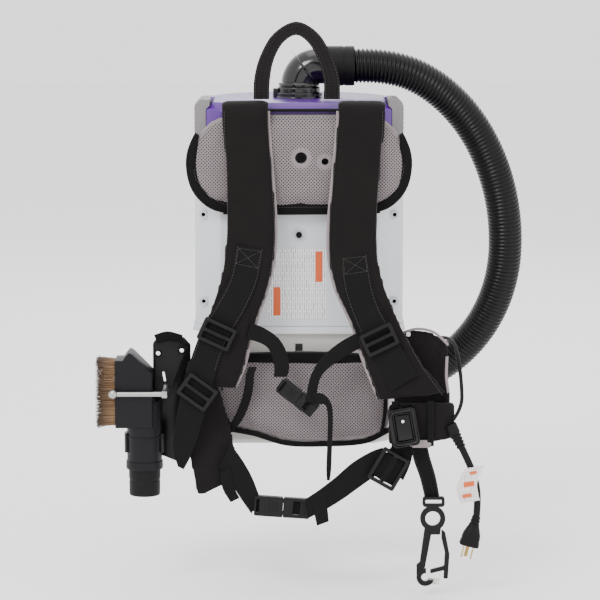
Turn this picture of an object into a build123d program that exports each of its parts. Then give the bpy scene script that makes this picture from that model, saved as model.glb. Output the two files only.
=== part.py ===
"""Backpack vacuum cleaner: canister, motor base, lid and hose on a padded harness.

Frame, in millimetres: the origin is the centre of the wearer's side of the lumbar pad, +X to the
wearer's right, +Y away from the wearer's back, +Z up.
"""
import os
from math import cos, pi, radians, sin, sqrt, tan

from build123d import *

os.makedirs("parts", exist_ok=True)

# ---- driving dimensions: shells --------------------------------------------------------------
BODY_WIDTH = 284.0
BODY_FRONT = 25.0  # y of the flat front face
BODY_REAR = 245.0  # y of the rounded back
CORNER = 35.0  # leg of the front corner chamfers
WALL = 3.0
BASE_BOTTOM = -60.0
BASE_INSET = 5.0  # how far the motor base stands inside the canister's outline
SEAM_Z = 93.5  # canister to motor base
LIP_HEIGHT = 11.0
LIP_PROUD = 4.0
LID_TOP = 408.0
LID_HEIGHT = 40.0
LID_SHOULDER = 10.0
RIM_Z = LID_TOP - LID_HEIGHT  # canister to lid
RIM_FLANGE = 9.0
GAP = 0.4  # between pieces that move past each other
DRAWN_TOP = 408.0  # the lid height that the strap and hose routes are drawn for
DRAWN_RIM = DRAWN_TOP - LID_HEIGHT

# ---- driving dimensions: latches -------------------------------------------------------------
LATCH_DEPTH = 16.5
LATCH_INNER = BODY_WIDTH / 2 - LATCH_DEPTH  # x of the pocket's inner wall
LATCH_FRONT = 40.0
LATCH_REAR = 118.0
LATCH_FLOOR = RIM_Z - 28.0
LATCH_PIN_X = BODY_WIDTH / 2 - 8.0
LATCH_PIN_Z = LATCH_FLOOR + 9.0
LATCH_PIN_R = 2.0
LATCH_KNUCKLE = 7.0
LUG_WIDTH = 14.0
LUG_Y = 90.0

# ---- driving dimensions: inlet, elbow and hose -----------------------------------------------
INLET_Y = 130.0
SPIGOT_R = 24.8
ELBOW_BORE = SPIGOT_R - 3.5
ELBOW_BEND = SPIGOT_R + 2.2
ELBOW_RISE = 43.0  # elbow's outlet above the lid
ELBOW_AXIS_Z = LID_TOP + ELBOW_RISE
COLLAR_R = SPIGOT_R + 5.5
COLLAR_HEIGHT = 15.0
CUFF_R = SPIGOT_R + 2.5
CUFF_START = 36.0
CUFF_END = 76.5
HOSE_R = SPIGOT_R - 1.1
HOSE_BORE = HOSE_R - 3.7
END_CUFF_LENGTH = 62.0
TOOL_BORE = 15.9  # 1.25 inch tools push into the end cuff
HOSE_POINTS = [
    (CUFF_END, INLET_Y, DRAWN_TOP + ELBOW_RISE),
    (125.0, 133.0, 452.0),
    (186.0, 142.0, 426.0),
    (240.0, 158.0, 372.0),
    (276.0, 176.0, 300.0),
    (293.0, 196.0, 220.0),
    (290.0, 217.0, 140.0),
    (262.0, 240.0, 68.0),
    (212.0, 262.0, 12.0),
    (146.0, 278.0, -22.0),
    (72.0, 287.0, -28.0),
    (2.0, 290.0, -6.0),
    (-55.0, 290.0, 40.0),
    (-88.0, 290.0, 106.0),
    (-90.0, 290.0, 180.0),
    (-62.0, 290.0, 248.0),
    (-10.0, 290.0, 300.0),
    (36.0, 290.0, 326.0),
]

# ---- driving dimensions: harness -------------------------------------------------------------
PLATE_BACK = 24.6
PLATE_THICKNESS = 3.0
PAD_BACK = 21.4
PAD_THICKNESS = 18.0
STRAP_THICKNESS = 10.0
WEB_THICKNESS = 2.0
BELT_THICKNESS = 8.0


def body_outline(inset):
    """Plan of the shells: flat front, chamfered front corners and a half-round back."""
    half = BODY_WIDTH / 2 - inset
    front = BODY_FRONT + inset
    corner = CORNER - inset * (2 - sqrt(2))
    centre_y = BODY_REAR - BODY_WIDTH / 2
    with BuildSketch() as outline:
        with BuildLine():
            Polyline(
                (-half, centre_y),
                (-half, front + corner),
                (-half + corner, front),
                (half - corner, front),
                (half, front + corner),
                (half, centre_y),
            )
            ThreePointArc((half, centre_y), (0, centre_y + half), (-half, centre_y))
        make_face()
    return outline.sketch


def pocket_outline(inset, clearance=0.0):
    """Plan of the canister's top and of the lid, where the latches stand in two side pockets."""
    reach = BODY_WIDTH / 2
    inner = LATCH_INNER - clearance - inset
    length = LATCH_REAR - LATCH_FRONT + 2 * (inset + clearance)
    with BuildSketch() as outline:
        add(body_outline(inset))
        with Locations((inner + reach / 2, (LATCH_REAR + LATCH_FRONT) / 2)):
            Rectangle(reach, length, mode=Mode.SUBTRACT)
        with Locations((-inner - reach / 2, (LATCH_REAR + LATCH_FRONT) / 2)):
            Rectangle(reach, length, mode=Mode.SUBTRACT)
    return outline.sketch


def lifted(point):
    """A point of a strap or hose route, moved up as far as the lid stands over its drawn height."""
    x, y, z = point
    share = min(1.0, max(0.0, (z - SEAM_Z) / (DRAWN_RIM - SEAM_Z)))
    return Vector(x, y, z + share * (LID_TOP - DRAWN_TOP))


def ribbon(edges, thickness):
    """A strap or pad strip: a ruled loft through rectangles given by their two edge points."""
    starts = [lifted(first) for first, _ in edges]
    ends = [lifted(second) for _, second in edges]
    centres = [(start + end) * 0.5 for start, end in zip(starts, ends)]
    with BuildPart() as strip:
        for i, centre in enumerate(centres):
            across = ends[i] - starts[i]
            along = centres[min(i + 1, len(centres) - 1)] - centres[max(i - 1, 0)]
            unit = across.normalized()
            along = along - unit * along.dot(unit)
            with BuildSketch(Plane(centre, x_dir=across, z_dir=along)):
                Rectangle(across.length, thickness)
        loft(ruled=True)
    return strip.part


def panel(points, y_front, thickness):
    """A flat sheet seen from the wearer's side: a polygon in X and Z with its front at y_front."""
    with BuildPart() as sheet:
        with BuildSketch(Plane.XZ.offset(-y_front - thickness)):
            with BuildLine():
                Polyline(*points, close=True)
            make_face()
        extrude(amount=thickness)
    return sheet.part


def corner_radii(points):
    """Bend radius at each inner point of a cord's route: as large as its two runs allow."""
    route = [Vector(*point) for point in points]
    radii = []
    for before, here, after in zip(route, route[1:], route[2:]):
        turn = radians((here - before).get_angle(after - here))
        run = min((here - before).length, (after - here).length)
        radii.append(0.45 * run / tan(turn / 2))
    return radii


def cord(points, radius, bore=0.0):
    """A cord or hose: a round section swept along straight runs joined by tangent arcs."""
    radii = corner_radii(points)
    print("bend radii", [round(value, 1) for value in radii])
    with BuildPart() as tube:
        with BuildLine() as route:
            FilletPolyline(*points, radius=radii)
        start = Plane(points[0], z_dir=Vector(*points[1]) - Vector(*points[0]))
        with BuildSketch(start):
            Circle(radius)
            if bore:
                Circle(bore, mode=Mode.SUBTRACT)
        sweep(path=route.wires()[0])
    section = pi * (radius**2 - bore**2)
    print("cord volume ratio", round(tube.part.volume / (section * route.wires()[0].length), 4))
    return tube.part


def save(piece, name):
    """Label one finished piece and write its STEP file."""
    piece.label = name
    export_step(piece, f"parts/{name}.step")


# ==== canister and base =======================================================================
HOLE_X = BODY_WIDTH / 2 - 12.0
HOLE_ROWS = (136.0, 255.0)
HOLE_R = 2.75
HOLE_DEPTH = 14.0
BOSS_R = 6.0
BOSS_CAP = 4.0  # boss length past its hole
BOSS_SINK = 0.5  # how far each boss starts behind the chamfer
FACET_SLOPE_Y = BODY_FRONT + CORNER - (BODY_WIDTH / 2 - HOLE_X)  # y of the chamfer at HOLE_X
BOSS_FRONT = FACET_SLOPE_Y - BOSS_R - BOSS_SINK
FLOOR_PORT_R = 62.0
KNOB_Z = 230.0
SCREWS = ((2.7, RIM_Z - 32.0), (35.0, RIM_Z - 37.0), (0.0, KNOB_Z))
KNOB_R = 9.0
KNOB_THICKNESS = 3.0
SCREW_R = 1.95
SCREW_CLEARANCE = 0.05
LIP_TAPER = 12.0
LUG_RISE = 5.0  # lug's shoulder above the hinge pin
LUG_SHOULDER = 3.0  # shoulder's corner inside the pin
LUG_REACH = 4.0  # lug's edge outside the pin

with BuildPart() as canister:
    with BuildSketch(Plane.XY.offset(SEAM_Z)):
        add(body_outline(0))
    extrude(amount=RIM_Z - SEAM_Z)
    with BuildSketch(Plane.XY.offset(SEAM_Z)):
        add(body_outline(-LIP_PROUD))
    extrude(amount=LIP_HEIGHT, taper=LIP_TAPER)
    # latch pockets
    with BuildSketch(Plane.XY.offset(LATCH_FLOOR)):
        add(body_outline(-LIP_PROUD))
        add(pocket_outline(0), mode=Mode.SUBTRACT)
    extrude(amount=RIM_Z - LATCH_FLOOR, mode=Mode.SUBTRACT)
    # hollow: full width below the pockets, narrower beside them, narrowest at the rim's flange
    with BuildSketch(Plane.XY.offset(SEAM_Z + WALL)):
        add(body_outline(WALL))
    extrude(amount=LATCH_FLOOR - WALL - SEAM_Z - WALL, mode=Mode.SUBTRACT)
    with BuildSketch(Plane.XY.offset(LATCH_FLOOR - WALL)):
        add(pocket_outline(WALL))
    extrude(amount=RIM_Z - WALL - LATCH_FLOOR + WALL, mode=Mode.SUBTRACT)
    with BuildSketch(Plane.XY.offset(RIM_Z - WALL)):
        add(pocket_outline(RIM_FLANGE))
    extrude(amount=WALL, mode=Mode.SUBTRACT)
    with Locations((0, INLET_Y, SEAM_Z)):
        Cylinder(FLOOR_PORT_R, 3 * WALL, mode=Mode.SUBTRACT)
    # screw bosses behind the chamfered corners, and their blind holes
    with Locations(*[(x, BOSS_FRONT + (HOLE_DEPTH + BOSS_CAP) / 2, z) for x in (-HOLE_X, HOLE_X) for z in HOLE_ROWS]):
        Cylinder(BOSS_R, HOLE_DEPTH + BOSS_CAP, rotation=(90, 0, 0))
    with Locations(*[(x, BOSS_FRONT + HOLE_DEPTH / 2, z) for x in (-HOLE_X, HOLE_X) for z in HOLE_ROWS]):
        Cylinder(HOLE_R, HOLE_DEPTH, rotation=(90, 0, 0), mode=Mode.SUBTRACT)
    # raised ring round the middle screw, and the harness screws' holes
    with Locations((0, BODY_FRONT, KNOB_Z)):
        Cylinder(KNOB_R, KNOB_THICKNESS, rotation=(90, 0, 0))
    with Locations(*[(x, BODY_FRONT, z) for x, z in SCREWS]):
        Cylinder(SCREW_R + SCREW_CLEARANCE, 8 * WALL, rotation=(90, 0, 0), mode=Mode.SUBTRACT)
    # latch lugs in the pockets, bored for the hinge pins
    for side in (-1, 1):
        with BuildSketch(Plane.XZ.offset(-LUG_Y - LUG_WIDTH / 2)):
            with BuildLine():
                Polyline(
                    (side * (LATCH_INNER - WALL), LATCH_FLOOR - WALL),
                    (side * (LATCH_INNER - WALL), LATCH_PIN_Z + LUG_RISE),
                    (side * (LATCH_PIN_X - LUG_SHOULDER), LATCH_PIN_Z + LUG_RISE),
                    (side * (LATCH_PIN_X + LUG_REACH), LATCH_PIN_Z),
                    (side * (LATCH_PIN_X + LUG_REACH), LATCH_FLOOR - WALL),
                    close=True,
                )
            make_face()
        extrude(amount=LUG_WIDTH)
    with Locations((LATCH_PIN_X, LUG_Y, LATCH_PIN_Z), (-LATCH_PIN_X, LUG_Y, LATCH_PIN_Z)):
        Cylinder(LATCH_PIN_R, 3 * LUG_WIDTH, rotation=(90, 0, 0), mode=Mode.SUBTRACT)
save(canister.part, "canister")

VENT_COUNT = 9
VENT_PITCH = 9.0
VENT_Z = 10.0
BOTTOM_THICKNESS = 4.0
SLOT_Z = 74.0
SLOT_SIZE = 10.0
VENT_WIDTH = 90.0
VENT_HEIGHT = 4.5
VENT_CUT = 40.0
FOOT_RADIUS = 8.0
STEP_HEIGHT = 10.0  # thicker wall round the foot, inside
STEP_WIDTH = 6.0
with BuildPart() as motor_base:
    with BuildSketch(Plane.XY.offset(BASE_BOTTOM)):
        add(body_outline(BASE_INSET))
    extrude(amount=SEAM_Z - BASE_BOTTOM)
    fillet(motor_base.edges().group_by(Axis.Z)[0], radius=FOOT_RADIUS)
    with BuildSketch(Plane.XY.offset(BASE_BOTTOM + BOTTOM_THICKNESS)):
        add(body_outline(BASE_INSET + WALL + STEP_WIDTH))
    extrude(amount=STEP_HEIGHT, mode=Mode.SUBTRACT)
    with BuildSketch(Plane.XY.offset(BASE_BOTTOM + BOTTOM_THICKNESS + STEP_HEIGHT)):
        add(body_outline(BASE_INSET + WALL))
    extrude(amount=SEAM_Z - BASE_BOTTOM, mode=Mode.SUBTRACT)
    with Locations((0, BODY_FRONT + BASE_INSET, SLOT_Z)):
        Box(SLOT_SIZE, 4 * WALL, SLOT_SIZE, mode=Mode.SUBTRACT)
    # exhaust slots through the rounded back
    with Locations(*[(0, BODY_REAR - BASE_INSET, VENT_Z + (i - VENT_COUNT // 2) * VENT_PITCH)
                     for i in range(VENT_COUNT)]):
        Box(VENT_WIDTH, VENT_CUT, VENT_HEIGHT, mode=Mode.SUBTRACT)
save(motor_base.part, "motor_base")

FILTER_SIZE = (110.0, 14.0, 86.0)
FILTER_Y = BODY_REAR - BASE_INSET - 31.0
with BuildPart() as exhaust_filter:
    with Locations((0, FILTER_Y, VENT_Z)):
        Box(*FILTER_SIZE)
save(exhaust_filter.part, "exhaust_filter")

# ---- motor ----
MOTOR_R = 70.0
POST_HEIGHT = 6.0
POST_R = 5.0
GASKET_HEIGHT = 10.0
GASKET_WIDTH = 6.0
MOTOR_BOTTOM = BASE_BOTTOM + BOTTOM_THICKNESS + POST_HEIGHT
MOTOR_TOP = SEAM_Z - GASKET_HEIGHT
MOTOR_SHELL = 2.0
FAN_HOUSING = 46.0
FAN_FLOOR = MOTOR_TOP - FAN_HOUSING
STATOR_R = 44.0
ROTOR_R = 27.0
SHAFT_R = 4.0
BEARING_R = 11.0
BEARING_SEAT = 3.0
BEARING_LIP = 4.0
CAN_R = STATOR_R + 6.0
MOTOR_CENTRE_Z = (MOTOR_BOTTOM + FAN_FLOOR) / 2
BEARING_WIDTH = 7.0
LOWER_BEARING_Z = MOTOR_BOTTOM + MOTOR_SHELL
UPPER_BEARING_Z = FAN_FLOOR - BEARING_WIDTH
INTAKE_R = 24.0
with BuildPart() as motor_can:
    with BuildSketch(Plane.XZ.offset(-INLET_Y)):
        with BuildLine():
            Polyline(
                (BEARING_R, MOTOR_BOTTOM),
                (CAN_R, MOTOR_BOTTOM),
                (CAN_R, FAN_FLOOR),
                (MOTOR_R, FAN_FLOOR),
                (MOTOR_R, MOTOR_TOP),
                (INTAKE_R, MOTOR_TOP),
                (INTAKE_R, MOTOR_TOP - MOTOR_SHELL),
                (MOTOR_R - MOTOR_SHELL, MOTOR_TOP - MOTOR_SHELL),
                (MOTOR_R - MOTOR_SHELL, FAN_FLOOR + MOTOR_SHELL),
                (BEARING_R - BEARING_LIP, FAN_FLOOR + MOTOR_SHELL),
                (BEARING_R - BEARING_LIP, FAN_FLOOR),
                (BEARING_R, FAN_FLOOR),
                (BEARING_R, UPPER_BEARING_Z),
                (BEARING_R + BEARING_SEAT, UPPER_BEARING_Z),
                (BEARING_R + BEARING_SEAT, FAN_FLOOR - MOTOR_SHELL),
                (CAN_R - MOTOR_SHELL, FAN_FLOOR - MOTOR_SHELL),
                (CAN_R - MOTOR_SHELL, MOTOR_BOTTOM + MOTOR_SHELL),
                (BEARING_R + BEARING_SEAT, MOTOR_BOTTOM + MOTOR_SHELL),
                (BEARING_R + BEARING_SEAT, LOWER_BEARING_Z + BEARING_WIDTH),
                (BEARING_R, LOWER_BEARING_Z + BEARING_WIDTH),
                close=True,
            )
        make_face()
    revolve(axis=Axis((0, INLET_Y, 0), (0, 0, 1)))
    # posts that stand on the base's floor
    with Locations((0, INLET_Y, BASE_BOTTOM + BOTTOM_THICKNESS)):
        with PolarLocations(STATOR_R, 4, start_angle=45):
            Cylinder(POST_R, POST_HEIGHT, align=(Align.CENTER, Align.CENTER, Align.MIN))
save(motor_can.part, "motor_can")

FIELD_HEIGHT = 44.0
FIELD_FIT = 0.2  # press fit gap inside the can
AIR_GAP = 1.5
with BuildPart() as motor_field:
    with BuildSketch(Plane.XY.offset(MOTOR_CENTRE_Z - FIELD_HEIGHT / 2)):
        with Locations((0, INLET_Y)):
            Circle(CAN_R - MOTOR_SHELL - FIELD_FIT)
            Circle(ROTOR_R + AIR_GAP, mode=Mode.SUBTRACT)
    extrude(amount=FIELD_HEIGHT)
save(motor_field.part, "motor_field")

ROTOR_HEIGHT = 40.0
SHAFT_LENGTH = MOTOR_TOP - MOTOR_BOTTOM - 16.0
SHAFT_SINK = 6.0
COMMUTATOR_R = 13.0
COMMUTATOR_HEIGHT = 14.0
FAN_R = MOTOR_R - 6.0
FAN_DISC = 2.0
FAN_HUB_R = 12.0
FAN_LOW = 10.0  # lower disc above the fan housing's floor
FAN_HIGH = 32.0
VANE_COUNT = 8
VANE_LENGTH = 38.0
VANE_R = 43.0
with BuildPart() as rotor:
    with Locations((0, INLET_Y, MOTOR_CENTRE_Z)):
        Cylinder(ROTOR_R, ROTOR_HEIGHT)
    with Locations((0, INLET_Y, (MOTOR_BOTTOM + MOTOR_TOP) / 2 - SHAFT_SINK)):
        Cylinder(SHAFT_R, SHAFT_LENGTH)
    # commutator and the fan wheel: two discs with straight vanes between them
    with Locations((0, INLET_Y, MOTOR_CENTRE_Z - (ROTOR_HEIGHT + COMMUTATOR_HEIGHT) / 2)):
        Cylinder(COMMUTATOR_R, COMMUTATOR_HEIGHT)
    with Locations((0, INLET_Y, FAN_FLOOR + FAN_LOW)):
        Cylinder(FAN_R, FAN_DISC)
        Cylinder(FAN_HUB_R, 6 * FAN_DISC)
    with Locations((0, INLET_Y, FAN_FLOOR + FAN_HIGH)):
        Cylinder(FAN_R, FAN_DISC)
        Cylinder(INTAKE_R - FAN_DISC, 5 * FAN_DISC, mode=Mode.SUBTRACT)
    with Locations(Location((0, INLET_Y, FAN_FLOOR + (FAN_LOW + FAN_HIGH) / 2))):
        with PolarLocations(VANE_R, VANE_COUNT):
            Box(VANE_LENGTH, FAN_DISC, FAN_HIGH - FAN_LOW)
save(rotor.part, "rotor")

with BuildPart() as motor_bearings:
    for z in (LOWER_BEARING_Z, UPPER_BEARING_Z):
        with BuildSketch(Plane.XY.offset(z)):
            with Locations((0, INLET_Y)):
                Circle(BEARING_R)
                Circle(SHAFT_R + SCREW_CLEARANCE, mode=Mode.SUBTRACT)
        extrude(amount=BEARING_WIDTH)
save(motor_bearings.part, "motor_bearings")

with BuildPart() as motor_gasket:
    with BuildSketch(Plane.XY.offset(MOTOR_TOP)):
        with Locations((0, INLET_Y)):
            Circle(MOTOR_R)
            Circle(MOTOR_R - GASKET_WIDTH, mode=Mode.SUBTRACT)
    extrude(amount=GASKET_HEIGHT)
save(motor_gasket.part, "motor_gasket")

# ---- filters ----
DOME_R = FLOOR_PORT_R + 8.0
DOME_BOTTOM = SEAM_Z + WALL
DOME_FLANGE = 3.0
DOME_RISE = 24.0
DOME_SKIN = 2.0
with BuildPart() as dome_filter:
    with BuildSketch(Plane.XZ.offset(-INLET_Y)):
        with BuildLine():
            Polyline(
                (FLOOR_PORT_R - 2 * DOME_SKIN, DOME_BOTTOM),
                (DOME_R, DOME_BOTTOM),
                (DOME_R, DOME_BOTTOM + DOME_FLANGE),
                (FLOOR_PORT_R, DOME_BOTTOM + DOME_FLANGE),
                (FLOOR_PORT_R - 2 * DOME_SKIN, DOME_BOTTOM + DOME_RISE - 2 * DOME_SKIN),
                (0, DOME_BOTTOM + DOME_RISE),
                (0, DOME_BOTTOM + DOME_RISE - DOME_SKIN),
                (FLOOR_PORT_R - 3 * DOME_SKIN, DOME_BOTTOM + DOME_RISE - 3 * DOME_SKIN),
                close=True,
            )
        make_face()
    revolve(axis=Axis((0, INLET_Y, 0), (0, 0, 1)))
save(dome_filter.part, "dome_filter")

SLEEVE_R = 92.0
SLEEVE_BOTTOM = SEAM_Z + WALL + 30.0
SLEEVE_BEVEL = 25.0
BAG_R = 84.0
INLET_R = SPIGOT_R
CLOTH = 1.5
with BuildPart() as cloth_filter:
    with BuildSketch(Plane.XZ.offset(-INLET_Y)):
        with BuildLine():
            Polyline(
                (0, SLEEVE_BOTTOM),
                (SLEEVE_R - SLEEVE_BEVEL, SLEEVE_BOTTOM),
                (SLEEVE_R, SLEEVE_BOTTOM + SLEEVE_BEVEL),
                (SLEEVE_R, RIM_Z - WALL),
                (SLEEVE_R - CLOTH, RIM_Z - WALL),
                (SLEEVE_R - CLOTH, SLEEVE_BOTTOM + SLEEVE_BEVEL),
                (SLEEVE_R - SLEEVE_BEVEL - CLOTH, SLEEVE_BOTTOM + CLOTH),
                (0, SLEEVE_BOTTOM + CLOTH),
                close=True,
            )
        make_face()
    revolve(axis=Axis((0, INLET_Y, 0), (0, 0, 1)))
save(cloth_filter.part, "cloth_filter")

BAG_TOP = RIM_Z - WALL - 14.0
BAG_BOTTOM = SLEEVE_BOTTOM + 28.0
BAG_MOUTH = INLET_R + 1.2
BAG_SHOULDER = 20.0
BAG_CARD = (110.0, 90.0)
BAG_CARD_THICKNESS = 4.0
with BuildPart() as filter_bag:
    with BuildSketch(Plane.XZ.offset(-INLET_Y)):
        with BuildLine():
            Polyline(
                (0, BAG_BOTTOM),
                (BAG_R - BAG_SHOULDER, BAG_BOTTOM),
                (BAG_R, BAG_BOTTOM + BAG_SHOULDER),
                (BAG_R, BAG_TOP - BAG_SHOULDER),
                (BAG_R - BAG_SHOULDER, BAG_TOP),
                (BAG_MOUTH, BAG_TOP),
                (BAG_MOUTH, BAG_TOP - CLOTH),
                (BAG_R - BAG_SHOULDER - CLOTH, BAG_TOP - CLOTH),
                (BAG_R - CLOTH, BAG_TOP - BAG_SHOULDER - CLOTH),
                (BAG_R - CLOTH, BAG_BOTTOM + BAG_SHOULDER + CLOTH),
                (BAG_R - BAG_SHOULDER - CLOTH, BAG_BOTTOM + CLOTH),
                (0, BAG_BOTTOM + CLOTH),
                close=True,
            )
        make_face()
    revolve(axis=Axis((0, INLET_Y, 0), (0, 0, 1)))
    with BuildSketch(Plane.XY.offset(BAG_TOP)):
        with Locations((0, INLET_Y)):
            Rectangle(*BAG_CARD)
            Circle(BAG_MOUTH, mode=Mode.SUBTRACT)
    extrude(amount=BAG_CARD_THICKNESS)
save(filter_bag.part, "filter_bag")

# ==== lid =====================================================================================
LID_BOTTOM = RIM_Z + GAP
SPIGOT_BOTTOM = BAG_TOP + 2.0
SPIGOT_SINK = 2.0  # spigot's top under the lid's top face
SEAL_FIT = 0.2
SEAL_WIDTH = 4.3
SEAL_HEIGHT = 5.0
COLLAR_BEVEL = 1.5
ELBOW_SINK = 12.0  # elbow's end inside the cuff's far end
with BuildPart() as lid:
    with BuildSketch(Plane.XY.offset(LID_BOTTOM)):
        add(pocket_outline(0))
    extrude(amount=LID_TOP - LID_BOTTOM)
    chamfer(lid.faces().sort_by(Axis.Z)[-1].outer_wire().edges(), length=LID_SHOULDER)
    with BuildSketch(Plane.XY.offset(LID_BOTTOM)):
        add(pocket_outline(WALL))
    extrude(amount=LID_TOP - LID_BOTTOM - LID_SHOULDER - WALL, mode=Mode.SUBTRACT)
    with BuildSketch(Plane.XY.offset(LID_BOTTOM)):
        add(pocket_outline(WALL + LID_SHOULDER))
    extrude(amount=LID_TOP - LID_BOTTOM - WALL, mode=Mode.SUBTRACT)
    with Locations((0, INLET_Y, SPIGOT_BOTTOM)):
        Cylinder(INLET_R, LID_TOP - SPIGOT_SINK - SPIGOT_BOTTOM, align=(Align.CENTER, Align.CENTER, Align.MIN))
    with Locations((0, INLET_Y, BAG_TOP)):
        Cylinder(
            ELBOW_BORE,
            LID_TOP - BAG_TOP,
            align=(Align.CENTER, Align.CENTER, Align.MIN),
            mode=Mode.SUBTRACT,
        )
save(lid.part, "lid")

with BuildPart() as lid_gasket:
    with BuildSketch(Plane.XY.offset(LID_BOTTOM)):
        add(pocket_outline(WALL + SEAL_FIT))
        add(pocket_outline(WALL + SEAL_FIT + SEAL_WIDTH), mode=Mode.SUBTRACT)
    extrude(amount=SEAL_HEIGHT)
save(lid_gasket.part, "lid_gasket")

with BuildPart() as inlet_collar:
    with BuildSketch(Plane.XY.offset(LID_TOP)):
        with Locations((0, INLET_Y)):
            Circle(COLLAR_R)
            Circle(SPIGOT_R + GAP, mode=Mode.SUBTRACT)
    extrude(amount=COLLAR_HEIGHT)
    chamfer(inlet_collar.edges().group_by(Axis.Z)[-1].sort_by(SortBy.LENGTH)[-1], length=COLLAR_BEVEL)
save(inlet_collar.part, "inlet_collar")

with BuildPart() as elbow:
    with BuildLine() as elbow_path:
        Line((0, INLET_Y, LID_TOP + GAP), (0, INLET_Y, ELBOW_AXIS_Z - ELBOW_BEND))
        TangentArc(
            (0, INLET_Y, ELBOW_AXIS_Z - ELBOW_BEND),
            (ELBOW_BEND, INLET_Y, ELBOW_AXIS_Z),
            tangent=(0, 0, 1),
        )
        Line((ELBOW_BEND, INLET_Y, ELBOW_AXIS_Z), (CUFF_END - ELBOW_SINK, INLET_Y, ELBOW_AXIS_Z))
    with BuildSketch(Plane.XY.offset(LID_TOP + GAP)):
        with Locations((0, INLET_Y)):
            Circle(SPIGOT_R)
            Circle(ELBOW_BORE, mode=Mode.SUBTRACT)
    sweep(path=elbow_path.wires()[0])
save(elbow.part, "elbow")

with BuildPart() as hose_cuff_top:
    with BuildSketch(Plane.YZ.offset(CUFF_START)):
        with Locations((INLET_Y, ELBOW_AXIS_Z)):
            Circle(CUFF_R)
            Circle(SPIGOT_R, mode=Mode.SUBTRACT)
    extrude(amount=CUFF_END - CUFF_START)
save(hose_cuff_top.part, "hose_cuff_top")

HOSE_ROUTE = [lifted(point).to_tuple() for point in HOSE_POINTS]
with BuildPart() as hose:
    add(cord(HOSE_ROUTE, HOSE_R, HOSE_BORE))
save(hose.part, "hose")

HOSE_LAST = Vector(*HOSE_ROUTE[-1])
HOSE_EXIT = (HOSE_LAST - Vector(*HOSE_ROUTE[-2])).normalized()
with BuildPart() as hose_cuff_end:
    with BuildSketch(Plane(HOSE_LAST, z_dir=HOSE_EXIT)):
        Circle(CUFF_R)
    extrude(amount=END_CUFF_LENGTH)
    with BuildSketch(Plane(HOSE_LAST, z_dir=HOSE_EXIT)):
        Circle(TOOL_BORE)
    extrude(amount=END_CUFF_LENGTH, mode=Mode.SUBTRACT)
save(hose_cuff_end.part, "hose_cuff_end")

# the tie that holds the put-away hose: a hook-and-loop band on a lug at the canister's back
TIE_POINT = lifted((-86.4, 290.0, 180.0))
TIE_INNER = HOSE_R + 4.5
TIE_WIDTH = 25.0
TIE_LUG_WIDTH = 6.0
TIE_LUG_SINK = 1.0  # lug's end inside the band
TIE_BODY_CENTRE = Vector(0, BODY_REAR - BODY_WIDTH / 2, TIE_POINT.Z)
TIE_INWARD = (TIE_BODY_CENTRE - TIE_POINT).normalized()
TIE_LUG_LENGTH = (TIE_BODY_CENTRE - TIE_POINT).length - BODY_WIDTH / 2 - TIE_INNER - TIE_LUG_SINK - 0.3
with BuildPart() as hose_tie:
    with BuildSketch(Plane(TIE_POINT - Vector(0, 0, TIE_WIDTH / 2), z_dir=(0, 0, 1))):
        Circle(TIE_INNER + WEB_THICKNESS)
        Circle(TIE_INNER, mode=Mode.SUBTRACT)
    extrude(amount=TIE_WIDTH)
    with BuildSketch(Plane(TIE_POINT - Vector(0, 0, TIE_WIDTH / 2), x_dir=TIE_INWARD, z_dir=(0, 0, 1))):
        with Locations((TIE_INNER + TIE_LUG_LENGTH / 2 + TIE_LUG_SINK, 0)):
            Rectangle(TIE_LUG_LENGTH, TIE_LUG_WIDTH)
    extrude(amount=TIE_WIDTH)
save(hose_tie.part, "hose_tie")

# ==== latches =================================================================================
LIP_REACH = 5.5
LATCH_TOP = LID_TOP + 3.0
LUG_NOTCH = (60.0, 22.0)  # the latch's cut round its lug: across and up
PIN_LENGTH = 52.0
PIN_SHIFT = 5.0  # pin's middle ahead of the lug's
PIN_CUT = 3 * PIN_LENGTH
LATCH_BEVEL = 9.0
PIN_CLEARANCE = 0.08
for side, latch_name in ((-1, "latch_left"), (1, "latch_right")):
    shoulder = LID_TOP - LID_SHOULDER + GAP * (sqrt(2) - 1)
    with BuildPart() as latch:
        with BuildSketch(Plane.XZ.offset(-LATCH_REAR + GAP)):
            with BuildLine():
                Polyline(
                    (side * (LATCH_INNER + GAP), LATCH_PIN_Z),
                    (side * (LATCH_INNER + GAP), shoulder),
                    (side * (LATCH_INNER + GAP - LIP_REACH), shoulder + LIP_REACH),
                    (side * (LATCH_INNER + GAP - LIP_REACH), LATCH_TOP),
                    (side * (BODY_WIDTH / 2 - LATCH_BEVEL), LATCH_TOP),
                    (side * BODY_WIDTH / 2, LATCH_TOP - LATCH_BEVEL),
                    (side * BODY_WIDTH / 2, LATCH_PIN_Z),
                    close=True,
                )
            make_face()
            with Locations((side * LATCH_PIN_X, LATCH_PIN_Z)):
                Circle(LATCH_KNUCKLE)
        extrude(amount=LATCH_REAR - GAP - LATCH_FRONT)
        with BuildSketch(Plane.XY.offset(LATCH_FLOOR)):
            add(body_outline(0))
        extrude(amount=2 * (LID_TOP - LATCH_FLOOR), mode=Mode.INTERSECT)
        with Locations((side * BODY_WIDTH / 2, LUG_Y, LATCH_PIN_Z)):
            Box(LUG_NOTCH[0], LUG_WIDTH + 2 * GAP, LUG_NOTCH[1], mode=Mode.SUBTRACT)
        with Locations((side * LATCH_PIN_X, LUG_Y, LATCH_PIN_Z)):
            Cylinder(LATCH_PIN_R + PIN_CLEARANCE, PIN_CUT, rotation=(90, 0, 0), mode=Mode.SUBTRACT)
    save(latch.part, latch_name)

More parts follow.
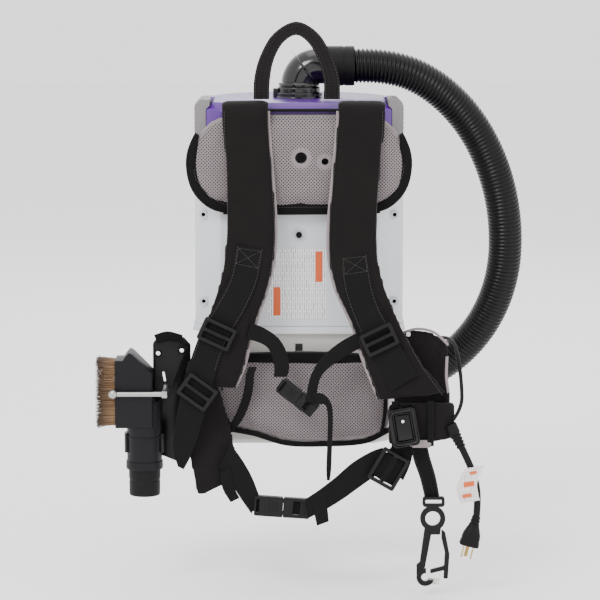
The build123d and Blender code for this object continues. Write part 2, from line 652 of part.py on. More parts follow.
with BuildPart() as latch_pins:
    with Locations((LATCH_PIN_X, LUG_Y - PIN_SHIFT, LATCH_PIN_Z), (-LATCH_PIN_X, LUG_Y - PIN_SHIFT, LATCH_PIN_Z)):
        Cylinder(LATCH_PIN_R, PIN_LENGTH, rotation=(90, 0, 0))
save(latch_pins.part, "latch_pins")

# ==== harness: plates and pads ================================================================
PAD_TOP = LID_TOP - 8.0
PAD_BOTTOM = PAD_TOP - 140.5
PAD_HALF = 151.0
PAD_WIDEST_Z = PAD_TOP - 74.0
PAD_TOP_HALF = 88.0
PAD_BOTTOM_HALF = 85.0
PAD_EDGE = 4.0
PAD_HOLES = (8.0, 4.8)
with BuildPart() as upper_pad:
    with BuildSketch(Plane.XZ.offset(-PAD_BACK)):
        with BuildLine():
            Line((0, PAD_TOP), (PAD_TOP_HALF, PAD_TOP))
            Spline(
                (PAD_TOP_HALF, PAD_TOP),
                (PAD_HALF, PAD_WIDEST_Z),
                (PAD_BOTTOM_HALF, PAD_BOTTOM),
                tangents=((1, 0), (0, -1), (-1, 0)),
            )
            Line((PAD_BOTTOM_HALF, PAD_BOTTOM), (0, PAD_BOTTOM))
            mirror(about=Plane.YZ)
        make_face()
    extrude(amount=PAD_THICKNESS)
    chamfer(upper_pad.faces().sort_by(Axis.Y)[0].outer_wire().edges(), length=PAD_EDGE)
    for (x, z), hole_r in zip(SCREWS, PAD_HOLES):
        with Locations((x, PAD_BACK, z)):
            Cylinder(hole_r, 3 * PAD_THICKNESS, rotation=(90, 0, 0), mode=Mode.SUBTRACT)
save(upper_pad.part, "upper_pad")

HEAD_R = 4.2
HEAD_HEIGHT = 3.0
SHANK_LENGTH = 12.0
with BuildPart() as case_screws:
    for x, z in SCREWS:
        with Locations((x, PLATE_BACK - PLATE_THICKNESS - HEAD_HEIGHT / 2, z)):
            Cylinder(HEAD_R, HEAD_HEIGHT, rotation=(90, 0, 0))
        with Locations((x, PLATE_BACK - PLATE_THICKNESS + SHANK_LENGTH / 2, z)):
            Cylinder(SCREW_R, SHANK_LENGTH, rotation=(90, 0, 0))
save(case_screws.part, "case_screws")

PLATE_FIT = 0.2
UPPER_PLATE = (210.0, 116.0, 14.0)  # width, height and corner radius
LUMBAR_PLATE = (190.0, 84.0, 10.0)
LUMBAR_PLATE_Z = 6.0
LUMBAR_FRAME_THICKNESS = BODY_FRONT + BASE_INSET - PAD_BACK - 2 * PLATE_FIT
LUMBAR_OUTLINE = [
    (-102, 66),
    (112, 66),
    (126, 44),
    (126, -38),
    (90, -54),
    (40, -58),
    (-16, -57),
    (-60, -44),
    (-108, -33),
    (-120, -14),
    (-120, 44),
]
with BuildPart() as back_plates:
    with BuildSketch(Plane.XZ.offset(-BODY_FRONT - BASE_INSET + PLATE_FIT)):
        with Locations((0, LUMBAR_PLATE_Z)):
            RectangleRounded(*LUMBAR_PLATE)
    extrude(amount=LUMBAR_FRAME_THICKNESS)
    with BuildSketch(Plane.XZ.offset(-PLATE_BACK)):
        with Locations((0, (PAD_TOP + PAD_BOTTOM) / 2)):
            RectangleRounded(*UPPER_PLATE)
        with Locations(*SCREWS[:2]):
            Circle(SCREW_R + SCREW_CLEARANCE, mode=Mode.SUBTRACT)
    extrude(amount=PLATE_THICKNESS)
save(back_plates.part, "back_plates")

with BuildPart() as lumbar_pad:
    add(panel(LUMBAR_OUTLINE, PAD_BACK - PAD_THICKNESS, PAD_THICKNESS))
    chamfer(lumbar_pad.faces().sort_by(Axis.Y)[0].outer_wire().edges(), length=PAD_EDGE)
save(lumbar_pad.part, "lumbar_pad")

# ---- belt wings ----
POUCH_THICKNESS = 12.0
with BuildPart() as belt_right:
    add(ribbon(
        [
            ((127.5, 12, 60), (127.5, 12, -40)),
            ((140, 8, 98), (142, 8, -40)),
            ((160, 0, 105), (165, -4, -36)),
            ((182, -12, 102), (186, -16, -36)),
            ((200, -24, 88), (205, -34, -32)),
        ],
        BELT_THICKNESS,
    ))
    # the wing folds forward and its end carries the switch
    add(ribbon(
        [
            ((207, -32, 10), (207, -34, -36)),
            ((196, -44, 12), (196, -44, -40)),
            ((160, -46, 12), (160, -46, -43)),
            ((120, -46, 10), (120, -46, -45)),
        ],
        POUCH_THICKNESS,
    ))
save(belt_right.part, "belt_right")

with BuildPart() as belt_left:
    add(ribbon(
        [
            ((-152, -6, 62), (-121, 6, 60)),
            ((-157, -14, 20), (-104, -8, 20)),
            ((-159, -22, -20), (-92, -16, -20)),
            ((-152, -28, -60), (-84, -24, -60)),
            ((-144, -32, -92), (-84, -30, -92)),
            ((-138, -34, -117), (-128, -34, -117)),
        ],
        BELT_THICKNESS,
    ))
save(belt_left.part, "belt_left")

# ---- shoulder straps ----
LEFT_OUTER = [(-104, 390), (-104, 376), (-101, 323), (-100, 256), (-102, 215), (-107, 182),
              (-117, 148), (-129, 115), (-140, 88), (-149, 61), (-153, 34)]
LEFT_INNER = [(-38, 390), (-37, 376), (-33, 323), (-29, 270), (-28, 236), (-31, 199),
              (-39, 162), (-50, 132), (-61, 98), (-70, 60), (-82, 28)]
RIGHT_OUTER = [(116, 390), (116, 376), (112, 323), (108, 262), (108, 215), (112, 188),
               (120, 160), (134, 126), (147, 99), (168, 62), (198, 24)]
RIGHT_INNER = [(49, 390), (48, 376), (43, 323), (38, 270), (36, 236), (37, 205),
               (44, 168), (56, 140), (70, 110), (82, 72), (103, 15)]
LEFT_DEPTHS = [-2.4, -2.8, -8, -16, -21, -25, -28, -31, -34, -38, -42]
RIGHT_DEPTHS = [-2.4, -2.8, -8, -16, -21, -25, -28, -31, -34, -45, -57]
OVER_THE_TOP = [(21, 408.7), (9, 408.7), (1, 406), (-2.3, 399.5)]


def shoulder_edges(outer, inner, depths):
    """Edge points of a shoulder strap: over the pad's top edge, then down the front."""
    top = [((outer[0][0], y, z), (inner[0][0], y, z)) for y, z in OVER_THE_TOP]
    front = [((a[0], y, a[1]), (b[0], y, b[1])) for a, b, y in zip(outer, inner, depths)]
    return top + front


with BuildPart() as shoulder_pad_left:
    add(ribbon(shoulder_edges(LEFT_OUTER, LEFT_INNER, LEFT_DEPTHS), STRAP_THICKNESS))
save(shoulder_pad_left.part, "shoulder_pad_left")

with BuildPart() as shoulder_pad_right:
    add(ribbon(shoulder_edges(RIGHT_OUTER, RIGHT_INNER, RIGHT_DEPTHS), STRAP_THICKNESS))
save(shoulder_pad_right.part, "shoulder_pad_right")

LOOP_Y = 15.0
LOOP_THICKNESS = 2.5
LOOP_OUTER = [(-61, 414.2), (-60, 442), (-52, 472), (-34, 502), (-4, 518), (25, 503), (44, 472), (54, 442), (55, 414.2)]
LOOP_INNER = [(-40, 414.2), (-39, 440), (-34, 466), (-22, 489), (-4, 500), (13, 489), (26, 466), (33, 440), (33, 414.2)]
with BuildPart() as carry_loop:
    add(ribbon(
        [((a[0], LOOP_Y, a[1]), (b[0], LOOP_Y, b[1])) for a, b in zip(LOOP_OUTER, LOOP_INNER)],
        LOOP_THICKNESS,
    ))
save(carry_loop.part, "carry_loop")

# ---- webbing on the shoulder straps ----
LEFT_WEB = [((-84, -28.5, 222), (-46, -28.5, 217)), ((-92, -34, 180), (-56, -34, 171)),
            ((-108, -37.5, 148), (-73, -37.5, 134)), ((-128, -41, 114), (-94, -41, 98)),
            ((-141, -45, 82), (-107, -45, 66)), ((-154, -51, 42), (-120, -51, 22)),
            ((-166, -48, -16), (-134, -48, -28)), ((-169, -44, -52), (-146, -44, -62)),
            ((-163, -41, -76), (-155, -41, -80))]
RIGHT_WEB = [((54, -28.5, 207), (92, -28.5, 211)), ((60, -34, 164), (98, -34, 170)),
             ((72, -38.5, 128), (108, -38.5, 139)), ((88, -46, 92), (124, -46, 110)),
             ((103, -53, 60), (139, -53, 82)), ((122, -61, 30), (158, -61, 52))]
with BuildPart() as webbing_left:
    add(ribbon(LEFT_WEB, WEB_THICKNESS))
save(webbing_left.part, "webbing_left")
with BuildPart() as webbing_right:
    add(ribbon(RIGHT_WEB, WEB_THICKNESS))
save(webbing_right.part, "webbing_right")


# ==== buckles =================================================================================
def facing(x, y, z, tilt):
    """A plane that faces the wearer, its local x turned by tilt degrees from the row's X."""
    angle = radians(tilt)
    return Plane((x, y, z), x_dir=(cos(angle), 0, sin(angle)), z_dir=(0, -1, 0))


def ladder_lock(place, width, height, thickness, bar):
    """A three-bar slide: a rounded frame with two webbing slots."""
    slot = (height - 3 * bar) / 2
    shift = (slot + bar) / 2
    with BuildPart() as lock:
        with BuildSketch(place):
            RectangleRounded(width, height, LOCK_CORNER)
            with Locations((0, shift), (0, -shift)):
                RectangleRounded(width - 2 * bar, slot, SLOT_CORNER, mode=Mode.SUBTRACT)
        extrude(amount=thickness / 2, both=True)
    return lock.part


LOCK_BAR = 4.6
LOCK_CORNER = 3.0
SLOT_CORNER = 1.2
LOCKS = {
    "ladder_lock_upper_left": ((-110.0, -47.0, 105.0, -25.0), 46.0, 32.0, 5.0),
    "ladder_lock_lower_left": ((-136.0, -56.2, 28.0, -36.0), 46.0, 34.0, 5.0),
    "ladder_lock_right": ((107.0, -56.0, 99.0, 26.0), 46.0, 32.0, 5.0),
    "waist_adjuster": ((120.0, -60.5, -76.0, 60.0), 48.0, 40.0, 6.0),
}
for lock_name, (spot, width, height, thickness) in LOCKS.items():
    save(ladder_lock(facing(*spot), width, height, thickness, LOCK_BAR), lock_name)

BUCKLE_WALL = 2.2
BUCKLE_SPLIT = 0.52  # share of the closed length taken by the female half
PRONG_REACH = 0.68  # share of the female half that the prongs fill
PRONG_WIDTH = 0.22  # share of the socket's width
PRONG_ROOT = 1.0  # prong length inside the cross bar
SOCKET_DEPTH = 0.75  # share of the female half that is hollow
FEMALE_CORNER = 2.5
MALE_CORNER = 2.0
STRAP_SLOT = 0.7  # slot length as a share of the buckle's width


def buckle_female(place, length, width, thickness):
    """The socket half: a flat box, open at +x and with a webbing slot at -x."""
    half = length * BUCKLE_SPLIT
    with BuildPart() as socket:
        with BuildSketch(place):
            with Locations((-length / 2 + half / 2, 0)):
                RectangleRounded(half, width, FEMALE_CORNER)
        extrude(amount=thickness / 2, both=True)
        with BuildSketch(place):
            with Locations((-length / 2 + half - half * SOCKET_DEPTH / 2, 0)):
                Rectangle(half * SOCKET_DEPTH, width - 2 * BUCKLE_WALL)
        extrude(amount=thickness / 2 - BUCKLE_WALL, both=True, mode=Mode.SUBTRACT)
        with BuildSketch(place):
            with Locations((-length / 2 + half * 0.12, 0)):
                Rectangle(half * 0.1, width * STRAP_SLOT)
        extrude(amount=thickness, both=True, mode=Mode.SUBTRACT)
    return socket.part


def buckle_male(place, length, width, thickness):
    """The plug half: two prongs on a cross bar with a webbing slot."""
    half = length * BUCKLE_SPLIT
    start = -length / 2 + half + GAP
    body = length / 2 - start
    reach = half * PRONG_REACH
    prong = (width - 2 * BUCKLE_WALL - 2 * GAP) * PRONG_WIDTH
    offset_y = (width - 2 * BUCKLE_WALL - 2 * GAP - prong) / 2
    with BuildPart() as plug:
        with BuildSketch(place):
            with Locations((start + body / 2, 0)):
                RectangleRounded(body, width, MALE_CORNER)
                Rectangle(body * 0.25, width * STRAP_SLOT, mode=Mode.SUBTRACT)
        extrude(amount=thickness / 2, both=True)
        with BuildSketch(place):
            with Locations((start - reach / 2 + PRONG_ROOT, offset_y), (start - reach / 2 + PRONG_ROOT, -offset_y)):
                Rectangle(reach + 2 * PRONG_ROOT, prong)
        extrude(amount=thickness / 2 - BUCKLE_WALL - GAP, both=True)
    return plug.part


STERNUM = facing(-1.8, -42.5, 18.0, -37.7)
STERNUM_SIZE = (59.0, 22.0, 8.0)
WAIST = facing(-23.0, -60.0, -128.0, -4.0)
WAIST_SIZE = (74.0, 27.0, 10.0)
save(buckle_female(STERNUM, *STERNUM_SIZE), "sternum_buckle_female")
save(buckle_male(STERNUM, *STERNUM_SIZE), "sternum_buckle_male")
save(buckle_female(WAIST, *WAIST_SIZE), "waist_buckle_female")
save(buckle_male(WAIST, *WAIST_SIZE), "waist_buckle_male")

# ---- sternum and waist straps ----
with BuildPart() as sternum_strap_left:
    add(ribbon(
        [((-64, -41, 119), (-70, -41, 98)), ((-46, -41, 112), (-50, -41, 91)),
         ((-27, -41, 98), (-40, -41, 83)), ((-16, -41, 78), (-35, -41, 70)),
         ((-13, -41, 58), (-33, -41, 56)), ((-16, -41, 46), (-34, -41, 46))],
        WEB_THICKNESS,
    ))
save(sternum_strap_left.part, "sternum_strap_left")

with BuildPart() as sternum_strap_right:
    add(ribbon(
        [((78, -42.5, 106), (84, -42.5, 86)), ((56, -42, 94), (62, -42, 74)),
         ((34, -43.5, 76), (42, -43.5, 60)), ((18, -47, 54), (29, -47, 46)),
         ((11, -49, 30), (24, -49, 26)), ((10, -49, 14), (22, -49, 10))],
        WEB_THICKNESS,
    ))
    add(ribbon(
        [((18, -52.5, 26), (24, -52.5, 10)), ((32, -52.5, 25), (33, -52.5, 11)),
         ((43, -52, 12), (37, -49, 6)), ((45, -51, -10), (39, -47, -12)),
         ((44, -51, -50), (38, -47, -50)), ((43, -50, -80), (37, -47, -80)),
         ((41, -50, -94), (38, -48, -94))],
        WEB_THICKNESS,
    ))
save(sternum_strap_right.part, "sternum_strap_right")

with BuildPart() as waist_strap_left:
    add(ribbon(
        [((-92, -38, -46), (-108, -38, -78)), ((-76, -43, -68), (-92, -43, -98)),
         ((-63, -50, -90), (-80, -50, -116)), ((-54, -57, -112), (-64, -57, -138))],
        WEB_THICKNESS,
    ))
    add(ribbon(
        [((-106, -42, -84), (-92, -42, -78)), ((-103, -46, -106), (-87, -46, -104)),
         ((-92, -50, -124), (-80, -50, -118))],
        WEB_THICKNESS,
    ))
save(waist_strap_left.part, "waist_strap_left")

with BuildPart() as waist_strap_right:
    add(ribbon(
        [((8, -68, -116), (12, -68, -142)), ((26, -67, -104), (36, -67, -130)),
         ((48, -62, -88), (60, -62, -116)), ((72, -57, -68), (86, -57, -98)),
         ((96, -54.5, -54), (110, -54.5, -82)), ((112, -54.5, -48), (128, -54.5, -78))],
        WEB_THICKNESS,
    ))
    add(ribbon(
        [((112, -51, -66), (140, -51, -94)), ((122, -50.5, -50), (148, -50.5, -76)),
         ((128, -50, -44), (152, -50, -62)), ((132, -49, -46.5), (154, -49, -47.5))],
        WEB_THICKNESS,
    ))
save(waist_strap_right.part, "waist_strap_right")

# ==== dust brush and its holder ===============================================================
TOOL_X = -209.0
TOOL_Y = -20.0
NECK_R = 23.5
SLEEVE_TUBE_R = 21.5
SOCKET_R = 16.2
NECK_BOTTOM = -83.0
SLEEVE_END = -119.0
HOUSING_DEPTH = 48.0
MOUTH_X = -247.0
MOUTH_Z = 22.0
NECK_TOP = 10.0
SLEEVE_SEAT = 30.0  # how far the sleeve's seat runs into the neck
MOUTH_CUT = (54.0, 72.0)  # twice the mouth's depth, and its height
HOUSING = [(MOUTH_X, -24), (MOUTH_X, 68), (-236, 68), (-234, 72), (-228, 79), (-223, 76), (-197, 50), (-197, -24)]
with BuildPart() as dust_brush:
    with BuildSketch(Plane.XZ.offset(-TOOL_Y - HOUSING_DEPTH / 2)):
        with BuildLine():
            Polyline(*HOUSING, close=True)
        make_face()
    extrude(amount=HOUSING_DEPTH)
    with Locations((TOOL_X, TOOL_Y, NECK_BOTTOM)):
        Cylinder(NECK_R, NECK_TOP - NECK_BOTTOM, align=(Align.CENTER, Align.CENTER, Align.MIN))
    with Locations((MOUTH_X, TOOL_Y, MOUTH_Z)):
        Box(MOUTH_CUT[0], HOUSING_DEPTH - 2 * WALL, MOUTH_CUT[1], mode=Mode.SUBTRACT)
    with Locations((TOOL_X, TOOL_Y, NECK_BOTTOM)):
        Cylinder(SLEEVE_TUBE_R, SLEEVE_SEAT, align=(Align.CENTER, Align.CENTER, Align.MIN), mode=Mode.SUBTRACT)
        Cylinder(
            SLEEVE_TUBE_R - WALL,
            MOUTH_Z - NECK_BOTTOM,
            align=(Align.CENTER, Align.CENTER, Align.MIN),
            mode=Mode.SUBTRACT,
        )
save(dust_brush.part, "dust_brush")

with BuildPart() as tool_sleeve:
    with BuildSketch(Plane.XY.offset(SLEEVE_END)):
        with Locations((TOOL_X, TOOL_Y)):
            Circle(SLEEVE_TUBE_R)
            Circle(SOCKET_R, mode=Mode.SUBTRACT)
    extrude(amount=NECK_BOTTOM + SLEEVE_SEAT - 2 - SLEEVE_END)
save(tool_sleeve.part, "tool_sleeve")

TUFT_LENGTH = 28.0
TUFT_DEPTH = 9.0
TUFT_FLARE = 2.0
TUFT_RING = (HOUSING_DEPTH - 4.0, 88.0)
TUFT_CORNER = 12.0
with BuildPart() as brush_bristles:
    with BuildSketch(Plane((MOUTH_X, TOOL_Y, MOUTH_Z), x_dir=(0, 1, 0), z_dir=(-1, 0, 0))):
        RectangleRounded(*TUFT_RING, TUFT_CORNER)
        RectangleRounded(TUFT_RING[0] - 2 * TUFT_DEPTH, TUFT_RING[1] - 2 * TUFT_DEPTH, TUFT_CORNER / 2, mode=Mode.SUBTRACT)
    extrude(amount=TUFT_LENGTH, taper=-TUFT_FLARE)
save(brush_bristles.part, "brush_bristles")

PANEL_FRONT = 4.5
PANEL_THICKNESS = 6.0
CLIP_Z = (-60.0, -34.0)
CLIP_WALL = 3.2
CLIP_MOUTH = (60.0, 40.0)
CLIP_MOUTH_SHIFT = 30.0
HOLDER_HOLES = ((-191.0, 70.0), (-159.0, 74.0))
HOLDER_HOLE_R = 3.0
SLIT = (14.0, 3.2)
SLIT_SPOT = (-183.0, 38.0)
SLIT_TURN = 100.0
with BuildPart() as tool_holder:
    with BuildSketch(Plane.XZ.offset(-PANEL_FRONT - PANEL_THICKNESS)):
        with BuildLine():
            Polyline((-198, 84), (-192, 92), (-156, 92), (-147, 82), (-147, -60), (-166, -79), (-198, -66), close=True)
        make_face()
        with Locations(*HOLDER_HOLES):
            Circle(HOLDER_HOLE_R, mode=Mode.SUBTRACT)
        with Locations(SLIT_SPOT):
            SlotOverall(*SLIT, rotation=SLIT_TURN, mode=Mode.SUBTRACT)
    extrude(amount=PANEL_THICKNESS)
    # spring clip round the brush's neck, open towards the wearer
    with BuildSketch(Plane.XY.offset(CLIP_Z[0])):
        with Locations((TOOL_X, TOOL_Y)):
            Circle(NECK_R + GAP + CLIP_WALL)
            Circle(NECK_R + GAP, mode=Mode.SUBTRACT)
        with Locations((TOOL_X, TOOL_Y - CLIP_MOUTH_SHIFT)):
            Rectangle(*CLIP_MOUTH, mode=Mode.SUBTRACT)
    extrude(amount=CLIP_Z[1] - CLIP_Z[0])
save(tool_holder.part, "tool_holder")

PEG_Y = -52.0
PEG_Z = 24.0
PEG_R = 3.5
PEG_START = -180.0
PEG_BALL_X = -249.0
PEG_BALL_R = 6.4
PEG_BALL_NECK = PEG_BALL_X + sqrt(PEG_BALL_R**2 - PEG_R**2)
PEG_FOOT = (7.0, 9.0)
with BuildPart() as retaining_peg:
    with BuildSketch(Plane((0, PEG_Y, PEG_Z), x_dir=(1, 0, 0), z_dir=(0, -1, 0))):
        with BuildLine():
            Polyline((PEG_BALL_X - PEG_BALL_R, 0), (PEG_START, 0), (PEG_START, PEG_R), (PEG_BALL_NECK, PEG_R))
            ThreePointArc(
                (PEG_BALL_NECK, PEG_R),
                (PEG_BALL_X, PEG_BALL_R),
                (PEG_BALL_X - PEG_BALL_R, 0),
            )
        make_face()
    revolve(axis=Axis((0, PEG_Y, PEG_Z), (1, 0, 0)))
    with Locations((PEG_START, (PEG_Y - PEG_R + PANEL_FRONT) / 2, PEG_Z)):
        Box(PEG_FOOT[0], PANEL_FRONT - PEG_Y + PEG_R, PEG_FOOT[1])
save(retaining_peg.part, "retaining_peg")

# ==== switch ==================================================================================
SWITCH = facing(140.0, -62.0, -18.0, 10.0)
SWITCH_WIDTH = 37.0
SWITCH_HEIGHT = 52.0
SWITCH_DEPTH = 18.0
ROCKER_WIDTH = 20.0
ROCKER_HEIGHT = 34.0
ROCKER_TILT = 7.0
ROCKER_THICKNESS = 6.0
ROCKER_SINK = 3.0  # pivot under the housing's face
ROCKER_WELL = 11.0
SWITCH_CORNER = 6.0
with BuildPart() as switch_box:
    with BuildSketch(SWITCH):
        RectangleRounded(SWITCH_WIDTH, SWITCH_HEIGHT, SWITCH_CORNER)
    extrude(amount=SWITCH_DEPTH / 2, both=True)
    with BuildSketch(SWITCH.offset(SWITCH_DEPTH / 2 - ROCKER_WELL)):
        Rectangle(ROCKER_WIDTH + 2 * GAP, ROCKER_HEIGHT + 4 * GAP)
    extrude(amount=ROCKER_WELL, mode=Mode.SUBTRACT)
save(switch_box.part, "switch_box")

ROCKER_PIVOT = SWITCH.offset(SWITCH_DEPTH / 2 - ROCKER_SINK)
with BuildPart() as switch_rocker:
    with BuildSketch(Plane(ROCKER_PIVOT.origin, x_dir=ROCKER_PIVOT.y_dir, z_dir=-ROCKER_PIVOT.x_dir)):
        with Locations(Rotation(0, 0, ROCKER_TILT)):
            Rectangle(ROCKER_HEIGHT, ROCKER_THICKNESS)
    extrude(amount=ROCKER_WIDTH / 2, both=True)
save(switch_rocker.part, "switch_rocker")

# ==== cords ===================================================================================
LEAD_R = 2.5
LEAD_POINTS = [
    (BODY_WIDTH / 2 - BASE_INSET + 0.5, 112.0, 58.0),
    (170.0, 104.0, 70.0),
    (197.0, 74.0, 82.0),
    (211.0, 32.0, 84.0),
    (216.0, -8.0, 64.0),
    (219.0, -30.0, 32.0),
    (219.0, -42.0, 4.0),
    (207.0, -45.0, -12.0),
]
with BuildPart() as control_lead:
    add(cord(LEAD_POINTS, LEAD_R))
save(control_lead.part, "control_lead")

CORD_R = 4.7
CORD_POINTS = [
    (218.0, -50.0, -48.0),
    (229.0, -51.0, -70.0),
    (237.5, -52.0, -94.0),
    (241.0, -52.0, -119.0),
    (239.0, -52.0, -143.0),
]
with BuildPart() as power_cord:
    add(cord(CORD_POINTS, CORD_R))
save(power_cord.part, "power_cord")

RELIEF_AXIS = Vector(*CORD_POINTS[1]) - Vector(*CORD_POINTS[0])
RELIEF_LENGTH = 34.0
RELIEF_TIP_R = CORD_R + 1.2
RELIEF_ROOT_R = CORD_R + 4.0
with BuildPart() as strain_relief:
    with BuildSketch(Plane(CORD_POINTS[0], z_dir=-RELIEF_AXIS)):
        Circle(RELIEF_TIP_R)
    with BuildSketch(Plane(CORD_POINTS[0], z_dir=-RELIEF_AXIS).offset(RELIEF_LENGTH)):
        Circle(RELIEF_ROOT_R)
    loft()
save(strain_relief.part, "strain_relief")

PLUG_START = Vector(*CORD_POINTS[-1])
PLUG_AXIS = (Vector(*CORD_POINTS[-1]) - Vector(*CORD_POINTS[-2])).normalized()
PLUG = Plane(PLUG_START, x_dir=(1, 0, -0.25), z_dir=PLUG_AXIS + Vector(-0.17, 0, 0))
PLUG_LENGTH = 41.0
PLUG_NECK_R = CORD_R + 1.5
PLUG_COLLAR = (13.0, CORD_R + 2.2)  # distance from the neck and radius
PLUG_WAIST = (26.0, 24.0, 20.0)  # distance from the neck, width and depth
PLUG_FACE = (27.0, 22.0)
PLUG_CORNER = 6.0
with BuildPart() as plug_body:
    with BuildSketch(Plane(PLUG_START, x_dir=(1, 0, 0), z_dir=PLUG_AXIS)):
        Circle(PLUG_NECK_R)
    with BuildSketch(PLUG.offset(PLUG_COLLAR[0])):
        Circle(PLUG_COLLAR[1])
    with BuildSketch(PLUG.offset(PLUG_WAIST[0])):
        RectangleRounded(*PLUG_WAIST[1:], PLUG_CORNER)
    with BuildSketch(PLUG.offset(PLUG_LENGTH)):
        RectangleRounded(*PLUG_FACE, PLUG_CORNER)
    loft(ruled=True)
save(plug_body.part, "plug_body")

BLADE_LENGTH = 17.0
BLADE = (1.5, 6.3)
BLADE_SPACING = 12.7
BLADE_RISE = 3.0
EARTH_R = 2.4
EARTH_DROP = 6.0
with BuildPart() as plug_blades:
    with BuildSketch(PLUG.offset(PLUG_LENGTH)):
        with Locations((-BLADE_SPACING / 2, BLADE_RISE), (BLADE_SPACING / 2, BLADE_RISE)):
            Rectangle(*BLADE)
        with Locations((0, -EARTH_DROP)):
            Circle(EARTH_R)
    extrude(amount=BLADE_LENGTH)
save(plug_blades.part, "plug_blades")

# ---- cord hook on its webbing strap ----
HOOK_Y = -54.0
HOOK_THICKNESS = 6.0
STRAP_EYE = (181.0, -122.0)
STRAP_EYE_OUTER = (30.0, 14.0, 4.0)  # width, height and corner radius
STRAP_EYE_INNER = (22.0, 5.5, 1.5)
RING = (180.0, -145.0)
RING_R = 17.0
RING_BORE = 10.0
BEND = (170.5, -226.0)
BEND_R = 12.0
BEND_BORE = 5.5
MOUTH_SPOT = (180.5, -219.0)
MOUTH_SIZE = (18.0, 22.0)
with BuildPart() as cord_hook_strap:
    add(ribbon(
        [((150, -46, -44), (172, -46, -43)), ((154, -47, -66), (176, -47, -62)),
         ((163, -48, -92), (184, -48, -89)), ((170, -48, -121), (190, -48, -120))],
        WEB_THICKNESS,
    ))
save(cord_hook_strap.part, "cord_hook_strap")

with BuildPart() as cord_hook:
    with BuildSketch(Plane.XZ.offset(-HOOK_Y - HOOK_THICKNESS / 2)):
        with Locations(STRAP_EYE):
            RectangleRounded(*STRAP_EYE_OUTER)
            RectangleRounded(*STRAP_EYE_INNER, mode=Mode.SUBTRACT)
        with Locations(RING):
            Circle(RING_R)
            Circle(RING_BORE, mode=Mode.SUBTRACT)
        with BuildLine():
            Polyline((169, -158), (191, -158), (190, -167), (178, -167), (170, -212), (164, -218),
                     (158.5, -222), (158.5, -209), (163, -205), close=True)
        make_face()
        with Locations(BEND):
            Circle(BEND_R)
            Circle(BEND_BORE, mode=Mode.SUBTRACT)
        with Locations(MOUTH_SPOT):
            Rectangle(*MOUTH_SIZE, mode=Mode.SUBTRACT)
    extrude(amount=HOOK_THICKNESS)
save(cord_hook.part, "cord_hook")

with BuildPart() as hook_gate:
    with BuildSketch(Plane.XZ.offset(-HOOK_Y - HOOK_THICKNESS / 2)):
        with BuildLine():
            Polyline((191.8, -160), (197, -164), (203, -194), (201, -228), (195, -228), (195.5, -216.5),
                     (177, -221), (177, -215.5), (195.5, -210.5), (196.5, -192), (191.8, -172), close=True)
        make_face()
    extrude(amount=HOOK_THICKNESS)
save(hook_gate.part, "hook_gate")
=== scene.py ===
"""Looks of the backpack vacuum cleaner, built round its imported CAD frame.

Frame, in metres: the origin is the centre of the wearer's side of the lumbar pad, +X to the
wearer's right, +Y away from the wearer's back, +Z up. Sizes in the classes are in millimetres.
"""

import logging
import math
from collections.abc import Callable, Iterator, Sequence
from contextlib import contextmanager
from dataclasses import dataclass
from enum import Enum

import bmesh
import bpy
import numpy as np
from mathutils import Euler, Matrix, Vector


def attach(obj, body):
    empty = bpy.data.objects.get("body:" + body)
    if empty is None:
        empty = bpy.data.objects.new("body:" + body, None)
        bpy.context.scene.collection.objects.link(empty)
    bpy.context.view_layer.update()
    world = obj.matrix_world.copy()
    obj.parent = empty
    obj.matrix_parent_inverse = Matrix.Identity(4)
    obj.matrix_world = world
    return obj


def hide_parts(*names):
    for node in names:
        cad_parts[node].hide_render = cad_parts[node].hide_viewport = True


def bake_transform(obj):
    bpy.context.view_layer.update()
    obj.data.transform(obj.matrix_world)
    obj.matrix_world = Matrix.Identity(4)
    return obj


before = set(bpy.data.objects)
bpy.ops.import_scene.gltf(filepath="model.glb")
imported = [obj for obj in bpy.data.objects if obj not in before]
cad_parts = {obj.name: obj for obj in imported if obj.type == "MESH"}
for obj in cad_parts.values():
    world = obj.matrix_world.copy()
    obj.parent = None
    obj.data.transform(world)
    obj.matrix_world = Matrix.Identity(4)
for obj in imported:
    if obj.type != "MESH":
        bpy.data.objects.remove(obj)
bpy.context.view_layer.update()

LOG = logging.getLogger("backpack_vacuum")
MM = 0.001
Point = tuple[float, float, float]
Spot = tuple[float, float]
Edge = tuple[Point, Point]
Socket = bpy.types.NodeSocket
FORWARDS = (0.0, -1.0, 0.0)
WAVE_SCALE = 0.314159  # the wave texture's own scale for bands one unit apart


# ==== node and colour helpers =================================================================
def linear(code: str) -> tuple[float, float, float, float]:
    """Turn an sRGB hex colour to linear light.

    Args:
        code: the colour, such as "#c9c6c0".

    Returns:
        Red, green, blue and an alpha of 1.
    """
    parts = [int(code[i : i + 2], 16) / 255 for i in (1, 3, 5)]
    made = [c / 12.92 if c <= 0.04045 else ((c + 0.055) / 1.055) ** 2.4 for c in parts]
    return made[0], made[1], made[2], 1.0


def add_node(tree: bpy.types.NodeTree, kind: str, inputs: dict | None = None, **settings: object) -> bpy.types.Node:
    """Add one node with its settings, values and links.

    Args:
        tree: the material's or world's node tree.
        kind: the node's type name.
        inputs: value or output socket for each input, by name or number.
        settings: the node's own properties.

    Returns:
        The new node.
    """
    made = tree.nodes.new(kind)
    for key, value in settings.items():
        setattr(made, key, value)
    for key, value in (inputs or {}).items():
        socket = made.inputs[key]
        if isinstance(value, Socket):
            tree.links.new(value, socket)
        else:
            socket.default_value = value
    return made


def named(values: dict[str, object]) -> dict[str, object]:
    """Turn keyword names such as detail_scale to input names such as "Detail Scale"."""
    return {key.replace("_", " ").title(): value for key, value in values.items()}


